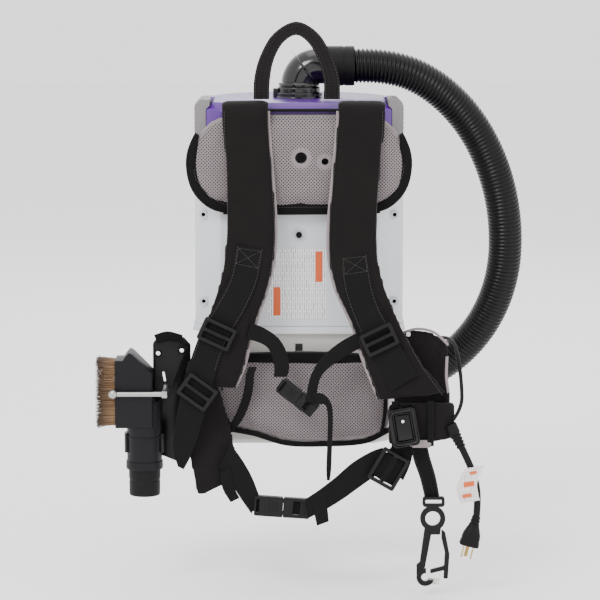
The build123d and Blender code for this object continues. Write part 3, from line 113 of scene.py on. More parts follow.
@dataclass
class Painter:
    """Adds one material's nodes and hands back their output sockets; lengths are in millimetres."""

    tree: bpy.types.NodeTree
    shader: bpy.types.Node
    where: bpy.types.Node

    @property
    def spot(self) -> Socket:
        """The object's own coordinates."""
        return self.where.outputs["Object"]

    def noise(self, spot: Socket, size: float, **values: object) -> Socket:
        """Cloudy noise with features of this size."""
        inputs = {"Vector": spot, "Scale": 1 / (size * MM), **named(values)}
        return add_node(self.tree, "ShaderNodeTexNoise", inputs).outputs["Fac"]

    def wave(self, spot: Socket, pitch: float, axis: str, **values: object) -> Socket:
        """Soft bands this far apart along an axis."""
        inputs = {"Vector": spot, "Scale": WAVE_SCALE / (pitch * MM), **named(values)}
        return add_node(self.tree, "ShaderNodeTexWave", inputs, bands_direction=axis).outputs["Fac"]

    def math(self, operation: str, *values: object) -> Socket:
        """One sum of up to three values."""
        return add_node(self.tree, "ShaderNodeMath", dict(enumerate(values)), operation=operation).outputs[0]

    def spread(self, value: Socket, curve: str = "LINEAR", **values: object) -> Socket:
        """Map a value from one range to another."""
        inputs = {"Value": value, **named(values)}
        return add_node(self.tree, "ShaderNodeMapRange", inputs, interpolation_type=curve).outputs[0]

    def mapped(self, spot: Socket, **values: object) -> Socket:
        """Turned or stretched coordinates."""
        return add_node(self.tree, "ShaderNodeMapping", {"Vector": spot, **named(values)}).outputs[0]

    def mix(self, share: Socket, low: object, high: object) -> Socket:
        """Colour between two colours."""
        return add_node(self.tree, "ShaderNodeMix", {"Factor": share, 6: low, 7: high}, data_type="RGBA").outputs[2]

    def link(self, value: Socket, name: str) -> None:
        """Lead a value to one of the shader's inputs."""
        self.tree.links.new(value, self.shader.inputs[name])

    def bump(self, height: Socket, strength: float, depth: float) -> None:
        """Raise the surface by a height map."""
        inputs = {"Height": height, "Strength": strength, "Distance": depth * MM}
        self.link(add_node(self.tree, "ShaderNodeBump", inputs).outputs[0], "Normal")


# ==== finishes ================================================================================
@dataclass(frozen=True)
class Finish:
    """A surface finish: a real material and the way its surface was made."""

    name: str
    colour: str
    roughness: float = 0.5
    variation: float = 0.06
    patch: float = 40.0
    sheen: float = 0.0
    coat: float = 0.0
    metallic: float = 0.0
    ior: float = 1.5
    specular: float = 0.5

    def material(self) -> bpy.types.Material:
        """Make this finish's material once, and give the same one afterwards."""
        found = bpy.data.materials.get(self.name)
        if found:
            return found
        made = bpy.data.materials.new(self.name)
        made.use_nodes = True
        tree = made.node_tree
        tree.nodes.clear()
        values = {"Roughness": self.roughness, "Metallic": self.metallic}
        values.update({"Coat Weight": self.coat, "Coat Roughness": 0.12})
        if not self.metallic:
            values.update({"IOR": self.ior, "Specular IOR Level": self.specular})
        if self.sheen:
            values.update({"Sheen Weight": self.sheen, "Sheen Roughness": 0.45})
        shader = add_node(tree, "ShaderNodeBsdfPrincipled", values)
        add_node(tree, "ShaderNodeOutputMaterial", {"Surface": shader.outputs["BSDF"]})
        self.paint(Painter(tree, shader, add_node(tree, "ShaderNodeTexCoord")))
        made.diffuse_color = linear(self.colour)
        return made

    def shades(self, pen: Painter, value: Socket, amount: float) -> Socket:
        """Colour from a little darker to a little lighter than the finish's own.

        Args:
            pen: the material's painter.
            value: 0 for the darkest and 1 for the lightest.
            amount: share by which the colour changes.

        Returns:
            The colour socket.
        """
        base = linear(self.colour)
        low = tuple(c * (1 - amount) for c in base[:3]) + (1.0,)
        high = tuple(min(1.0, c * (1 + amount)) for c in base[:3]) + (1.0,)
        return pen.mix(value, low, high)

    def paint(self, pen: Painter) -> None:
        """Give the shader its colour and bump; each kind of finish has its own."""
        raise NotImplementedError


@dataclass(frozen=True)
class Moulded(Finish):
    """Injection-moulded plastic: spark-eroded grain, slight flow marks and handling scuffs."""

    grain: float = 1.1  # drawn coarser than the real 0.3 mm, so that it shows
    depth: float = 0.02
    scuffs: float = 0.12

    def paint(self, pen: Painter) -> None:
        """Cloudy colour, worn patches of roughness and a grained surface."""
        cloud = pen.noise(pen.spot, self.patch, detail=4.0)
        pen.link(self.shades(pen, cloud, self.variation), "Base Color")
        streak = pen.mapped(pen.spot, scale=(1.0, 1.0, 0.35), rotation=(0.2, 0.5, 0.1))
        scuff = pen.noise(streak, 14.0, detail=8.0, roughness=0.7)
        worn = self.roughness + self.scuffs
        pen.link(pen.spread(scuff, from_min=0.45, from_max=0.75, to_min=self.roughness, to_max=worn), "Roughness")
        pen.bump(pen.noise(pen.spot, self.grain, detail=3.0), 0.35, self.depth)


@dataclass(frozen=True)
class Nylon(Finish):
    """Plain-woven pack cloth: crossing yarns, a dull sheen and fold-worn shades."""

    yarn: float = 2.2  # drawn coarser than the real 0.6 mm, so that it shows
    depth: float = 0.12

    def paint(self, pen: Painter) -> None:
        """Two crossing sets of yarns with a soft cloud of wear over them."""
        warp, weft = (pen.wave(pen.spot, self.yarn, axis, distortion=0.6, detail_scale=2.0) for axis in "XZ")
        cross = pen.math("MAXIMUM", warp, weft)
        tone = pen.math("MULTIPLY", cross, pen.noise(pen.spot, self.patch, detail=6.0))
        pen.link(self.shades(pen, tone, self.variation * 3), "Base Color")
        pen.bump(cross, 0.6, self.depth)


@dataclass(frozen=True)
class Webbing(Finish):
    """Flat-woven nylon webbing: cross ribs along its length and a plain selvedge."""

    rib: float = 2.6  # drawn coarser than the real 1.3 mm, so that it shows
    depth: float = 0.25

    def paint(self, pen: Painter) -> None:
        """Ribs follow the strap's own map, whose units are metres across and along."""
        spot = pen.where.outputs["UV"]
        rib = pen.wave(spot, self.rib, "Y", distortion=0.4)
        cord = pen.wave(spot, self.rib * 1.7, "X", distortion=0.3)
        weave = pen.math("MULTIPLY_ADD", rib, cord, 0.35)
        tone = pen.math("MULTIPLY", weave, pen.noise(pen.spot, self.patch, detail=5.0))
        pen.link(self.shades(pen, tone, self.variation * 4), "Base Color")
        pen.bump(weave, 0.7, self.depth)


@dataclass(frozen=True)
class SpacerMesh(Finish):
    """Knitted spacer mesh over foam: slanting rows of open holes, pressed flat along its rims."""

    holes: str = "#1d1517"
    pitch: float = 3.3

    def paint(self, pen: Painter) -> None:
        """Dark holes where two slanting wave sets are both high, unless "rim" closes them."""
        slanted = pen.mapped(pen.spot, rotation=(0.0, math.radians(45), 0.0))
        rows, ranks = (pen.wave(slanted, self.pitch, axis, distortion=0.35, detail_scale=3.0) for axis in "XZ")
        rim = add_node(pen.tree, "ShaderNodeAttribute", attribute_name="rim").outputs["Fac"]
        held = pen.math("SUBTRACT", pen.math("MULTIPLY", rows, ranks), rim)
        hole = pen.spread(held, "SMOOTHSTEP", from_min=0.22, from_max=0.5)
        yarn = self.shades(pen, pen.noise(pen.spot, self.patch, detail=5.0), self.variation)
        pen.link(pen.mix(hole, yarn, linear(self.holes)), "Base Color")
        pen.bump(pen.math("MULTIPLY_ADD", hole, -1.0, pen.noise(pen.spot, 0.9)), 0.6, 0.5)


@dataclass(frozen=True)
class Hair(Finish):
    """Horse-hair bristles: brown at the root, with darker tips, and each hair its own shade."""

    tip: str = "#2d1a10"
    root_x: float = -247.0
    tip_x: float = -276.0

    def paint(self, pen: Painter) -> None:
        """Shade runs from root to tip along X, with streaks across the tufts."""
        along = add_node(pen.tree, "ShaderNodeSeparateXYZ", {0: pen.spot}).outputs["X"]
        run = pen.spread(along, "SMOOTHSTEP", from_min=self.root_x * MM, from_max=self.tip_x * MM)
        strand = pen.noise(pen.mapped(pen.spot, scale=(0.08, 1.0, 1.0)), 1.6, detail=4.0)
        pen.link(pen.mix(run, self.shades(pen, strand, 0.7), linear(self.tip)), "Base Color")


@dataclass(frozen=True)
class Print(Finish):
    """A printed film label: plain grey bars in columns stand for its lines of words."""

    ink: str = "#8d8a8c"
    faint_ink: str = "#b9b6b8"
    line: float = 3.0
    word: float = 13.0
    gap: float = 0.9

    def paint(self, pen: Painter) -> None:
        """Broken bars that run up and down, in columns a few millimetres apart."""
        upright = pen.mapped(pen.spot, rotation=(math.radians(90), 0.0, math.radians(90)))
        colours = {"Color1": linear(self.ink), "Color2": linear(self.faint_ink), "Mortar": linear(self.colour)}
        sizes = {"Scale": 1.0, "Mortar Size": self.gap * MM, "Mortar Smooth": 0.1}
        sizes.update({"Brick Width": self.word * MM, "Row Height": self.line * MM})
        inputs = {"Vector": upright, **colours, **sizes}
        bars = add_node(pen.tree, "ShaderNodeTexBrick", inputs, offset=0.37, squash=1.0)
        pen.link(bars.outputs["Color"], "Base Color")


@dataclass(frozen=True)
class Brushed(Finish):
    """Drawn or turned metal: fine lines along the piece and small bright and dull spots."""

    def paint(self, pen: Painter) -> None:
        """Stretched noise gives the drawing lines."""
        lines = pen.noise(pen.mapped(pen.spot, scale=(0.1, 1.0, 1.0)), 0.8, detail=4.0)
        pen.link(self.shades(pen, lines, self.variation), "Base Color")
        pen.link(pen.spread(lines, to_min=self.roughness * 0.7, to_max=self.roughness * 1.4), "Roughness")


# polypropylene shell with a satin spark-eroded face: pale cool grey, slightly cloudy
SHELL_GREY = Moulded("polypropylene_pale_grey_satin", "#c6c8cc", 0.42, 0.035, 70.0)
# the same resin in a warmer batch, for the motor base
BASE_GREY = Moulded("polypropylene_warm_grey_satin", "#c2bfba", 0.45, 0.035, 60.0)
# ABS lid coloured through in purple: a smoother, glossier face
LID_PURPLE = Moulded("abs_purple_semi_gloss", "#4a1c78", 0.3, 0.05, 50.0, depth=0.01)
# glass-filled nylon latches, a little mottled: their dark grey is painted shade, the tone of their shaded front
# faces, while their lit top bevels are much paler
LATCH_SHADE_GREY = Moulded("nylon_latch_painted_shade", "#6d696b", 0.48, 0.08, 18.0)
# polished ABS elbow: black with sharp highlights
ELBOW_BLACK = Moulded("abs_black_polished", "#040405", 0.16, 0.1, 30.0, depth=0.004, scuffs=0.1, coat=0.35,
                      specular=0.4)
# blow-moulded polyethylene hose: soft black gloss with a little dust
HOSE_BLACK = Moulded("polyethylene_black_hose", "#070708", 0.3, 0.15, 20.0, depth=0.01, scuffs=0.16, specular=0.2)
# soft PVC cuffs and plug: matt black rubber-like face
CUFF_BLACK = Moulded("pvc_black_matt", "#0c0b0c", 0.5, 0.1, 20.0, depth=0.015, specular=0.15)
# acetal buckles: black with a fine grain and bright moulded edges
BUCKLE_BLACK = Moulded("acetal_black_fine_grain", "#0a090a", 0.3, 0.1, 12.0, depth=0.012, specular=0.2)
# switch housing and rocker: gloss black phenolic look
SWITCH_BLACK = Moulded("abs_black_gloss_switch", "#070608", 0.24, 0.1, 10.0, depth=0.005, specular=0.25)
# charcoal ABS of the dust brush
BRUSH_BLACK = Moulded("abs_charcoal_satin", "#121013", 0.4, 0.1, 22.0, specular=0.15)
# white print on the switch, and one eyelet on the right hip wing
DOT_WHITE = Moulded("enamel_white_dot", "#e6e4e2", 0.4, 0.02, 5.0, depth=0.002)
# warning-orange ink, kept as plain bars
BAR_ORANGE = Moulded("ink_orange_plain", "#c8541a", 0.5, 0.06, 6.0, depth=0.002)
LABEL_WHITE = Print("film_label_white_printed", "#e4e3e6", 0.4)
TAG_WHITE = Print("paper_tag_white_printed", "#e3e0dd", 0.7, ink="#7d7472", line=2.4)
# 500-denier pack cloth of the shoulder straps: warm black
STRAP_CLOTH = Nylon("nylon_pack_cloth_warm_black", "#120f0f", 0.85, 0.12, 30.0, sheen=0.06, specular=0.12)
# the same cloth on the hip pouch, faded a little towards brown
POUCH_CLOTH = Nylon("nylon_pack_cloth_faded_black", "#141112", 0.85, 0.14, 22.0, sheen=0.06, specular=0.12)
# webbing in flat-woven nylon
STRAP_WEB = Webbing("nylon_webbing_black", "#0d0b0c", 0.75, 0.14, 25.0, sheen=0.04, specular=0.12)
LOOP_WEB = Webbing("nylon_webbing_carry_loop", "#151213", 0.72, 0.14, 25.0, sheen=0.06, rib=4.0, specular=0.12)
# grosgrain binding tape round the pads
BINDING = Webbing("grosgrain_binding_black", "#0b090a", 0.78, 0.12, 25.0, sheen=0.04, rib=2.2, specular=0.12)
# spacer mesh: mauve grey knit with dark holes
PAD_MESH = SpacerMesh("spacer_mesh_mauve_grey", "#776e70", 0.85, 0.08, 35.0, sheen=0.08)
# bonded edge of the mesh: pinkish grey and smooth
MESH_EDGE = Nylon("knit_edge_pinkish_grey", "#857a7c", 0.85, 0.06, 25.0, sheen=0.08, yarn=1.8)
THREAD = Nylon("polyester_thread_black", "#2b2625", 0.6, 0.1, 8.0, yarn=1.2)
BRISTLE = Hair("horse_hair_brown", "#7a5c3e", 0.62, 0.2, 4.0)
STEEL = Brushed("steel_zinc_plated", "#a7a6a4", 0.3, 0.1, metallic=1.0)
BRASS = Brushed("brass_plug_blade", "#b59a5c", 0.3, 0.12, metallic=1.0)
SCREW_BLACK = Brushed("steel_black_oxide", "#1b1a1c", 0.42, 0.15, metallic=1.0)
CAST = Brushed("aluminium_die_cast", "#9b9c9d", 0.45, 0.12, metallic=1.0)
FILTER_CLOTH = Nylon("polyester_filter_felt", "#d8d4c8", 0.9, 0.05, 30.0, yarn=1.6)
FILTER_PAPER = Nylon("kraft_filter_paper", "#cfc3a6", 0.9, 0.06, 20.0, yarn=3.0)
SEAL = Moulded("foam_rubber_seal", "#2a2a2c", 0.85, 0.1, 8.0, depth=0.05)
FLOOR = Moulded("studio_floor_pale_vinyl", "#fbfbfb", 0.7, 0.01, 300.0, depth=0.01)


# ==== modelling helpers =======================================================================
def pick_only(*objs: bpy.types.Object) -> None:
    """Select these objects and nothing else, with the first one active."""
    bpy.ops.object.select_all(action="DESELECT")
    for obj in objs:
        obj.select_set(True)
    bpy.context.view_layer.objects.active = objs[0]


@contextmanager
def editing(obj: bpy.types.Object) -> Iterator[None]:
    """Keep one object in edit mode for the length of the block."""
    pick_only(obj)
    bpy.ops.object.mode_set(mode="EDIT")
    try:
        yield
    finally:
        bpy.ops.object.mode_set(mode="OBJECT")


def modify(obj: bpy.types.Object, kind: str, **settings: object) -> None:
    """Add one modifier with its settings and apply it.

    Args:
        obj: the mesh object.
        kind: the modifier's type name.
        settings: the modifier's own properties.
    """
    added = obj.modifiers.new(kind.lower(), kind)
    for key, value in settings.items():
        setattr(added, key, value)
    pick_only(obj)
    bpy.ops.object.modifier_apply(modifier=added.name)


def smooth(obj: bpy.types.Object, angle: float = 35.0) -> None:
    """Shade smooth across edges flatter than the angle, in degrees."""
    pick_only(obj)
    bpy.ops.object.shade_smooth_by_angle(angle=math.radians(angle))


def outward(obj: bpy.types.Object) -> None:
    """Merge doubled points and turn all faces outwards."""
    with editing(obj):
        bpy.ops.mesh.select_all(action="SELECT")
        bpy.ops.mesh.remove_doubles(threshold=1e-6)
        bpy.ops.mesh.normals_make_consistent(inside=False)


def settle(obj: bpy.types.Object, placement: Matrix | None = None) -> None:
    """Write a piece's place into its mesh, so that its object sits at the origin."""
    if placement is not None:
        obj.matrix_world = placement
    pick_only(obj)
    bpy.ops.object.transform_apply(location=True, rotation=True, scale=True)


def dress(obj: bpy.types.Object, finish: Finish, body: str,
          replaced: Sequence[str] = ()) -> bpy.types.Object:
    """Give a finished piece its material, its body and the nodes that it stands for.

    Args:
        obj: the piece.
        finish: its surface finish.
        body: the CAD body that it rides on.
        replaced: the CAD nodes that it replaces.

    Returns:
        The piece.
    """
    obj.data.materials.clear()
    obj.data.materials.append(finish.material())
    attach(obj, body)
    if replaced:
        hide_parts(*replaced)
    return obj


def placed(name: str, data: bpy.types.ID) -> bpy.types.Object:
    """Put a mesh, curve, lamp or camera into the scene as an object."""
    obj = bpy.data.objects.new(name, data)
    bpy.context.scene.collection.objects.link(obj)
    return obj


def primitive(kind: str, **settings: object) -> bpy.types.Object:
    """Add one of the basic meshes, such as "circle"; sizes are in metres."""
    bpy.ops.object.select_all(action="DESELECT")
    getattr(bpy.ops.mesh, f"primitive_{kind}_add")(**settings)
    return bpy.context.object


def points_of(mesh: bpy.types.Mesh) -> np.ndarray:
    """A mesh's points, one row each."""
    return np.array([v.co for v in mesh.vertices])


def move_points(obj: bpy.types.Object, points: np.ndarray) -> None:
    """Give a mesh new places for its points."""
    obj.data.vertices.foreach_set("co", points.astype(np.float32).ravel())
    obj.data.update()


def run_along(points: np.ndarray) -> np.ndarray:
    """Distance run at each point of a row, from 0."""
    return np.concatenate([[0], np.cumsum(np.linalg.norm(np.diff(points, axis=0), axis=1))])


def unit_rows(rows: np.ndarray) -> np.ndarray:
    """Each row made one unit long."""
    return rows / np.linalg.norm(rows, axis=1)[:, None]


def turns(count: int) -> np.ndarray:
    """Angles at equal steps round a circle."""
    return np.linspace(0, 2 * math.pi, count, endpoint=False)


def squared(value: np.ndarray, square: float) -> np.ndarray:
    """Push a sine or cosine towards a square's side; 2 keeps it round."""
    return np.sign(value) * np.abs(value) ** (2 / square)


def mesh_piece(name: str, points: np.ndarray, faces: Sequence[Sequence[int]],
               uv: np.ndarray | None = None) -> bpy.types.Object:
    """Make a mesh object from points and faces; uv is given for each point.

    Args:
        name: the piece's name.
        points: one row of X, Y and Z for each point, in metres.
        faces: the point numbers of each face.
        uv: one row of U and V for each point, or None.

    Returns:
        The new object.
    """
    mesh = bpy.data.meshes.new(name)
    mesh.from_pydata(points.tolist(), [], [list(f) for f in faces])
    if uv is not None:
        layer = mesh.uv_layers.new(name="UVMap")
        numbers = np.zeros(len(mesh.loops), np.int32)
        mesh.loops.foreach_get("vertex_index", numbers)
        layer.data.foreach_set("uv", uv[numbers].astype(np.float32).ravel())
    return placed(name, mesh)


def loft(name: str, rings: np.ndarray, uv: np.ndarray | None = None, closed: bool = False) -> bpy.types.Object:
    """Skin a row of closed rings, and cap both ends unless the row closes on itself.

    Args:
        name: the piece's name.
        rings: an array of rings, points and coordinates, in metres.
        uv: U and V for each ring's points, or None.
        closed: True where the last ring joins the first.

    Returns:
        The new object.
    """
    count, around = rings.shape[:2]
    faces = []
    for i in range(count if closed else count - 1):
        after = (i + 1) % count
        for j in range(around):
            k = (j + 1) % around
            faces.append((i * around + j, i * around + k, after * around + k, after * around + j))
    if not closed:
        faces.append(list(range(around))[::-1])
        faces.append([(count - 1) * around + j for j in range(around)])
    obj = mesh_piece(name, rings.reshape(-1, 3), faces, None if uv is None else uv.reshape(-1, 2))
    outward(obj)
    return obj


def catmull(points: np.ndarray, step: float) -> np.ndarray:
    """Points on a smooth curve through the given ones, about a step apart.

    Args:
        points: one row for each point, with any number of columns; the first three are its place.
        step: the spacing, in the points' own unit.

    Returns:
        The finer row of points.
    """
    ends = np.vstack([2 * points[0] - points[1], points, 2 * points[-1] - points[-2]])
    made = []
    for i in range(1, len(ends) - 2):
        a, b, c, d = ends[i - 1 : i + 3]
        count = max(2, int(np.linalg.norm((c - b)[:3]) / step))
        for t in np.arange(count) / count:
            second, third = 2 * a - 5 * b + 4 * c - d, 3 * b - a - 3 * c + d
            made.append(0.5 * (2 * b + (c - a) * t + second * t**2 + third * t**3))
    made.append(points[-1])
    return np.array(made)


def rounded(corners: Sequence[Spot], radius: float, steps: int = 6) -> list[Spot]:
    """Round the corners of a closed outline.

    Args:
        corners: its corner points, in millimetres.
        radius: how far from a corner its bend starts.
        steps: points on each bend.

    Returns:
        The rounded outline.
    """
    made = []
    for i, here in enumerate(corners):
        before, after = np.array(corners[i - 1]), np.array(corners[(i + 1) % len(corners)])
        point = np.array(here)
        start = point + (before - point) * min(0.45, radius / np.linalg.norm(before - point))
        end = point + (after - point) * min(0.45, radius / np.linalg.norm(after - point))
        for t in np.linspace(0, 1, steps):
            spot = start * (1 - t) ** 2 + 2 * point * t * (1 - t) + end * t**2
            made.append((float(spot[0]), float(spot[1])))
    return made


def rectangle(low: Spot, high: Spot, radius: float, steps: int = 6) -> list[Spot]:
    """A rounded rectangle between its lowest and highest corners."""
    corners = [low, (high[0], low[1]), high, (low[0], high[1])]
    return rounded(corners, radius, steps)


def cut_sheet(name: str, outline: Sequence[Spot], front: float, back: float, edge: float = 0.0) -> bpy.types.Object:
    """A flat piece that faces the wearer, from a filled curve given a depth and rounded edges.

    Args:
        name: the piece's name.
        outline: its X and Z corners, in millimetres.
        front: y of its front face.
        back: y of its back face.
        edge: radius of its edges.

    Returns:
        The new mesh object.
    """
    curve = bpy.data.curves.new(name, "CURVE")
    curve.dimensions = "2D"
    curve.fill_mode = "BOTH"
    line = curve.splines.new("POLY")
    line.points.add(len(outline) - 1)
    for place, (x, z) in zip(line.points, outline):
        place.co = (x * MM, z * MM, 0.0, 1.0)
    line.use_cyclic_u = True
    curve.extrude = (back - front) / 2 * MM - edge * MM
    curve.bevel_depth = edge * MM
    curve.bevel_resolution = 2
    curve.offset = -edge * MM
    obj = placed(name, curve)
    pick_only(obj)
    bpy.ops.object.convert(target="MESH")
    settle(obj, Matrix.Translation((0, (front + back) / 2 * MM, 0)) @ Matrix.Rotation(math.radians(90), 4, "X"))
    outward(obj)
    return obj


def turned(name: str, start: Point, axis: Point, profile: Sequence[Spot], sides: int = 48) -> bpy.types.Object:
    """A round piece drawn out of one circle by extruding and scaling its rim.

    Args:
        name: the piece's name.
        start: the point on its axis from which heights are measured, in millimetres.
        axis: the direction of its axis.
        profile: its radius and height at each step; a radius near 0 closes an end.
        sides: points round the circle.

    Returns:
        The new mesh object.
    """
    radius, height = profile[0]
    obj = primitive("circle", vertices=sides, radius=radius * MM)
    obj.name = name
    obj.data.name = name
    with editing(obj):
        bpy.ops.mesh.select_all(action="SELECT")
        bpy.ops.transform.translate(value=(0, 0, height * MM))
        for wide, high in profile[1:]:
            bpy.ops.mesh.extrude_edges_move(TRANSFORM_OT_translate={"value": (0, 0, (high - height) * MM)})
            bpy.ops.transform.resize(value=(wide / radius, wide / radius, 1), center_override=(0, 0, high * MM))
            radius, height = wide, high
    turn = Vector((0, 0, 1)).rotation_difference(Vector(axis).normalized()).to_matrix().to_4x4()
    settle(obj, Matrix.Translation(Vector(start) * MM) @ turn)
    outward(obj)
    return obj


FLAT_ANGLE = math.radians(1.5)  # triangles flatter than this are one face
SHARP_ANGLE = math.radians(24)  # edges sharper than this can be rounded


def rounded_copy(node: str, name: str, width: float, keep: Callable[[Vector, float], bool] | None = None,
                 segments: int = 2, shortest: float = 3.0,
                 clamp: bool = False) -> bpy.types.Object:
    """Copy a CAD node, merge its loose triangles and round its sharp edges.

    Args:
        node: the CAD node.
        name: the copy's name.
        width: how wide the rounding is, in millimetres.
        keep: tells from an edge's middle and length whether it is rounded; None rounds each.
        segments: steps across the rounding.
        shortest: edges below this length, in millimetres, stay sharp.
        clamp: hold the rounding back where edges would meet.

    Returns:
        The new mesh object.
    """
    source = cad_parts[node]
    obj = placed(name, source.data.copy())
    obj.data.name = name
    with editing(obj):
        bpy.ops.mesh.select_all(action="SELECT")
        bpy.ops.mesh.customdata_custom_splitnormals_clear()
        bpy.ops.mesh.remove_doubles(threshold=2e-6)
        bpy.ops.mesh.dissolve_limited(angle_limit=FLAT_ANGLE, delimit=set())
    work = bmesh.new()
    work.from_mesh(obj.data)
    layer = work.edges.layers.float.get("bevel_weight_edge") or work.edges.layers.float.new("bevel_weight_edge")
    for edge in work.edges:
        if len(edge.link_faces) != 2 or edge.calc_length() < shortest * MM:
            continue
        middle = (edge.verts[0].co + edge.verts[1].co) / 2
        wanted = keep is None or keep(middle / MM, edge.calc_length() / MM)
        if wanted and abs(edge.calc_face_angle(0.0)) > SHARP_ANGLE:
            edge[layer] = 1.0
    work.to_mesh(obj.data)
    work.free()
    if width:
        modify(obj, "BEVEL", width=width * MM, segments=segments, limit_method="WEIGHT", use_clamp_overlap=clamp,
               miter_outer="MITER_ARC")
    smooth(obj, 32.0)
    return obj


def longer(shortest: float) -> Callable[[Vector, float], bool]:
    """Rounds the edges above this length, in millimetres."""
    return lambda spot, length: length > shortest


def moulded(node: str, name: str, width: float, keep: Callable[[Vector, float], bool] | None, finish: Finish,
            body: str, slot: str, **settings: object) -> bpy.types.Object:
    """Round a CAD node's edges and dress the copy that stands for it.

    Args:
        node: the CAD node.
        name: the copy's name.
        width: how wide the rounding is, in millimetres.
        keep: tells which edges are rounded; None rounds each.
        finish: its surface finish.
        body: the CAD body that it rides on.
        slot: not used.
        settings: more arguments of rounded_copy.

    Returns:
        The piece.
    """
    return dress(rounded_copy(node, name, width, keep, **settings), finish, body, [node])


def scattered(name: str, model: bpy.types.Object, places: Sequence[Matrix]) -> bpy.types.Object:
    """Copy one small model to many places as a single mesh, and remove the model.

    Args:
        name: the new piece's name.
        model: the small mesh, at the origin.
        places: a matrix for each copy.

    Returns:
        The new object.
    """
    co = points_of(model.data)
    faces = [tuple(p.vertices) for p in model.data.polygons]
    points, shapes = [], []
    for i, place in enumerate(places):
        m = np.array(place)
        points.append(co @ m[:3, :3].T + m[:3, 3])
        shapes.extend([tuple(v + i * len(co) for v in f) for f in faces])
    bpy.data.objects.remove(model)
    obj = mesh_piece(name, np.vstack(points), shapes)
    smooth(obj, 60.0)
    return obj


def stitches(name: str, path: np.ndarray, facing: np.ndarray, pitch: float = 4.2,
             radius: float = 0.45) -> bpy.types.Object:
    """A row of thread stitches along a path that lies on cloth.

    Args:
        name: the piece's name.
        path: points along the seam, in metres.
        facing: the cloth's outward direction at each point.
        pitch: stitch spacing in millimetres, drawn coarser than the real 3 mm.
        radius: thickness of the drawn thread.

    Returns:
        The new object.
    """
    model = primitive("cylinder", vertices=6, radius=radius * MM, depth=pitch * 0.72 * MM)
    modify(model, "BEVEL", width=radius * 0.6 * MM, segments=1)
    run = run_along(path)
    places = []
    for s in np.arange(pitch / 2 * MM, run[-1], pitch * MM):
        here = np.array([np.interp(s, run, path[:, k]) for k in range(3)])
        ahead = np.array([np.interp(s + 1e-4, run, path[:, k]) for k in range(3)]) - here
        up = Vector([np.interp(s, run, facing[:, k]) for k in range(3)]).normalized()
        along = Vector(ahead).normalized()
        side = up.cross(along).normalized()
        turn = Matrix((side, up, along)).transposed().to_4x4()
        places.append(Matrix.Translation(Vector(here) + up * radius * 0.2 * MM) @ turn)
    return scattered(name, model, places)


# ==== straps ==================================================================================
@dataclass
class Ribbon:
    """A strap, given by its two edge points at each station, in millimetres."""

    name: str
    edges: Sequence[Edge]
    thickness: float
    finish: Finish
    body: str
    slot: str
    replaced: Sequence[str] = ()
    square: float = 9.0  # how square its section is
    crown: float = 2.6  # how flat its faces are
    around: int = 28
    step: float = 5.0
    lift: float = 0.0  # moved outwards by this much

    def stations(self) -> tuple[np.ndarray, np.ndarray, np.ndarray, np.ndarray, np.ndarray]:
        """Centres, unit vectors across and outwards, half widths and run at each station, in metres."""
        raw = np.array([[*np.add(a, b) / 2, *np.subtract(b, a) / 2] for a, b in self.edges], float)
        fine = catmull(raw, self.step) * MM
        centre, half = fine[:, :3], fine[:, 3:]
        width = np.linalg.norm(half, axis=1)
        across = half / width[:, None]
        along = np.gradient(centre, axis=0)
        out = unit_rows(np.cross(across, along))
        sign = np.where(out @ np.array([0.0, -1.0, 0.35]) < 0, -1.0, 1.0)
        out = out * sign[:, None]
        run = run_along(centre)
        return centre + out * self.lift * MM, across, out, width, run

    def build(self) -> bpy.types.Object:
        """Skin the strap's sections, and map it in metres across and along."""
        centre, across, out, width, run = self.stations()
        t = turns(self.around)
        a, b = squared(np.cos(t), self.square), squared(np.sin(t), self.crown)
        reach = width[:, None, None] * a[None, :, None]
        rise = self.thickness / 2 * MM * b[None, :, None]
        rings = centre[:, None] + across[:, None] * reach + out[:, None] * rise
        u = np.repeat(width[:, None] * a[None], 1, axis=0)
        v = np.repeat(run[:, None], self.around, axis=1)
        obj = loft(self.name, rings, np.stack([u, v], axis=2))
        smooth(obj, 50.0)
        return obj

    def seam(self, name: str, share: float, end: float = 1.0) -> bpy.types.Object:
        """A row of stitches along the strap's outer face.

        Args:
            name: the row's name.
            share: place across, from -1 at one edge to 1 at the other.
            end: share of the strap's length where the row ends.

        Returns:
            The dressed row.
        """
        centre, across, out, width, run = self.stations()
        high = self.thickness / 2 * 0.97 * MM
        path = centre + across * (width * share)[:, None] + out * high
        keep = run <= run[-1] * end
        return dress(stitches(name, path[keep], out[keep]), THREAD, self.body)

    def make(self) -> bpy.types.Object:
        """Build the strap and dress it."""
        return dress(self.build(), self.finish, self.body, self.replaced)


def web(name: str, edges: Sequence[Edge], thickness: float = 2.0, replaced: Sequence[str] = (), body: str = "pack",
        step: float = 5.0, lift: float = 0.0) -> Ribbon:
    """A piece of flat black webbing, built and dressed.

    Args:
        name: the piece's name.
        edges: its edge points.
        thickness: in millimetres.
        replaced: the CAD nodes that it stands for.
        body: the body that it rides on.
        step: spacing of its sections.
        lift: how far it is moved outwards.

    Returns:
        The ribbon, for seams.
    """
    made = Ribbon(name, edges, thickness, STRAP_WEB, body, "webbing", replaced, crown=6.0, step=step, lift=lift)
    made.make()
    return made


CLOTH_FRAMES = 20
CLOTH_MASS = 0.3
CLOTH_QUALITY = 4


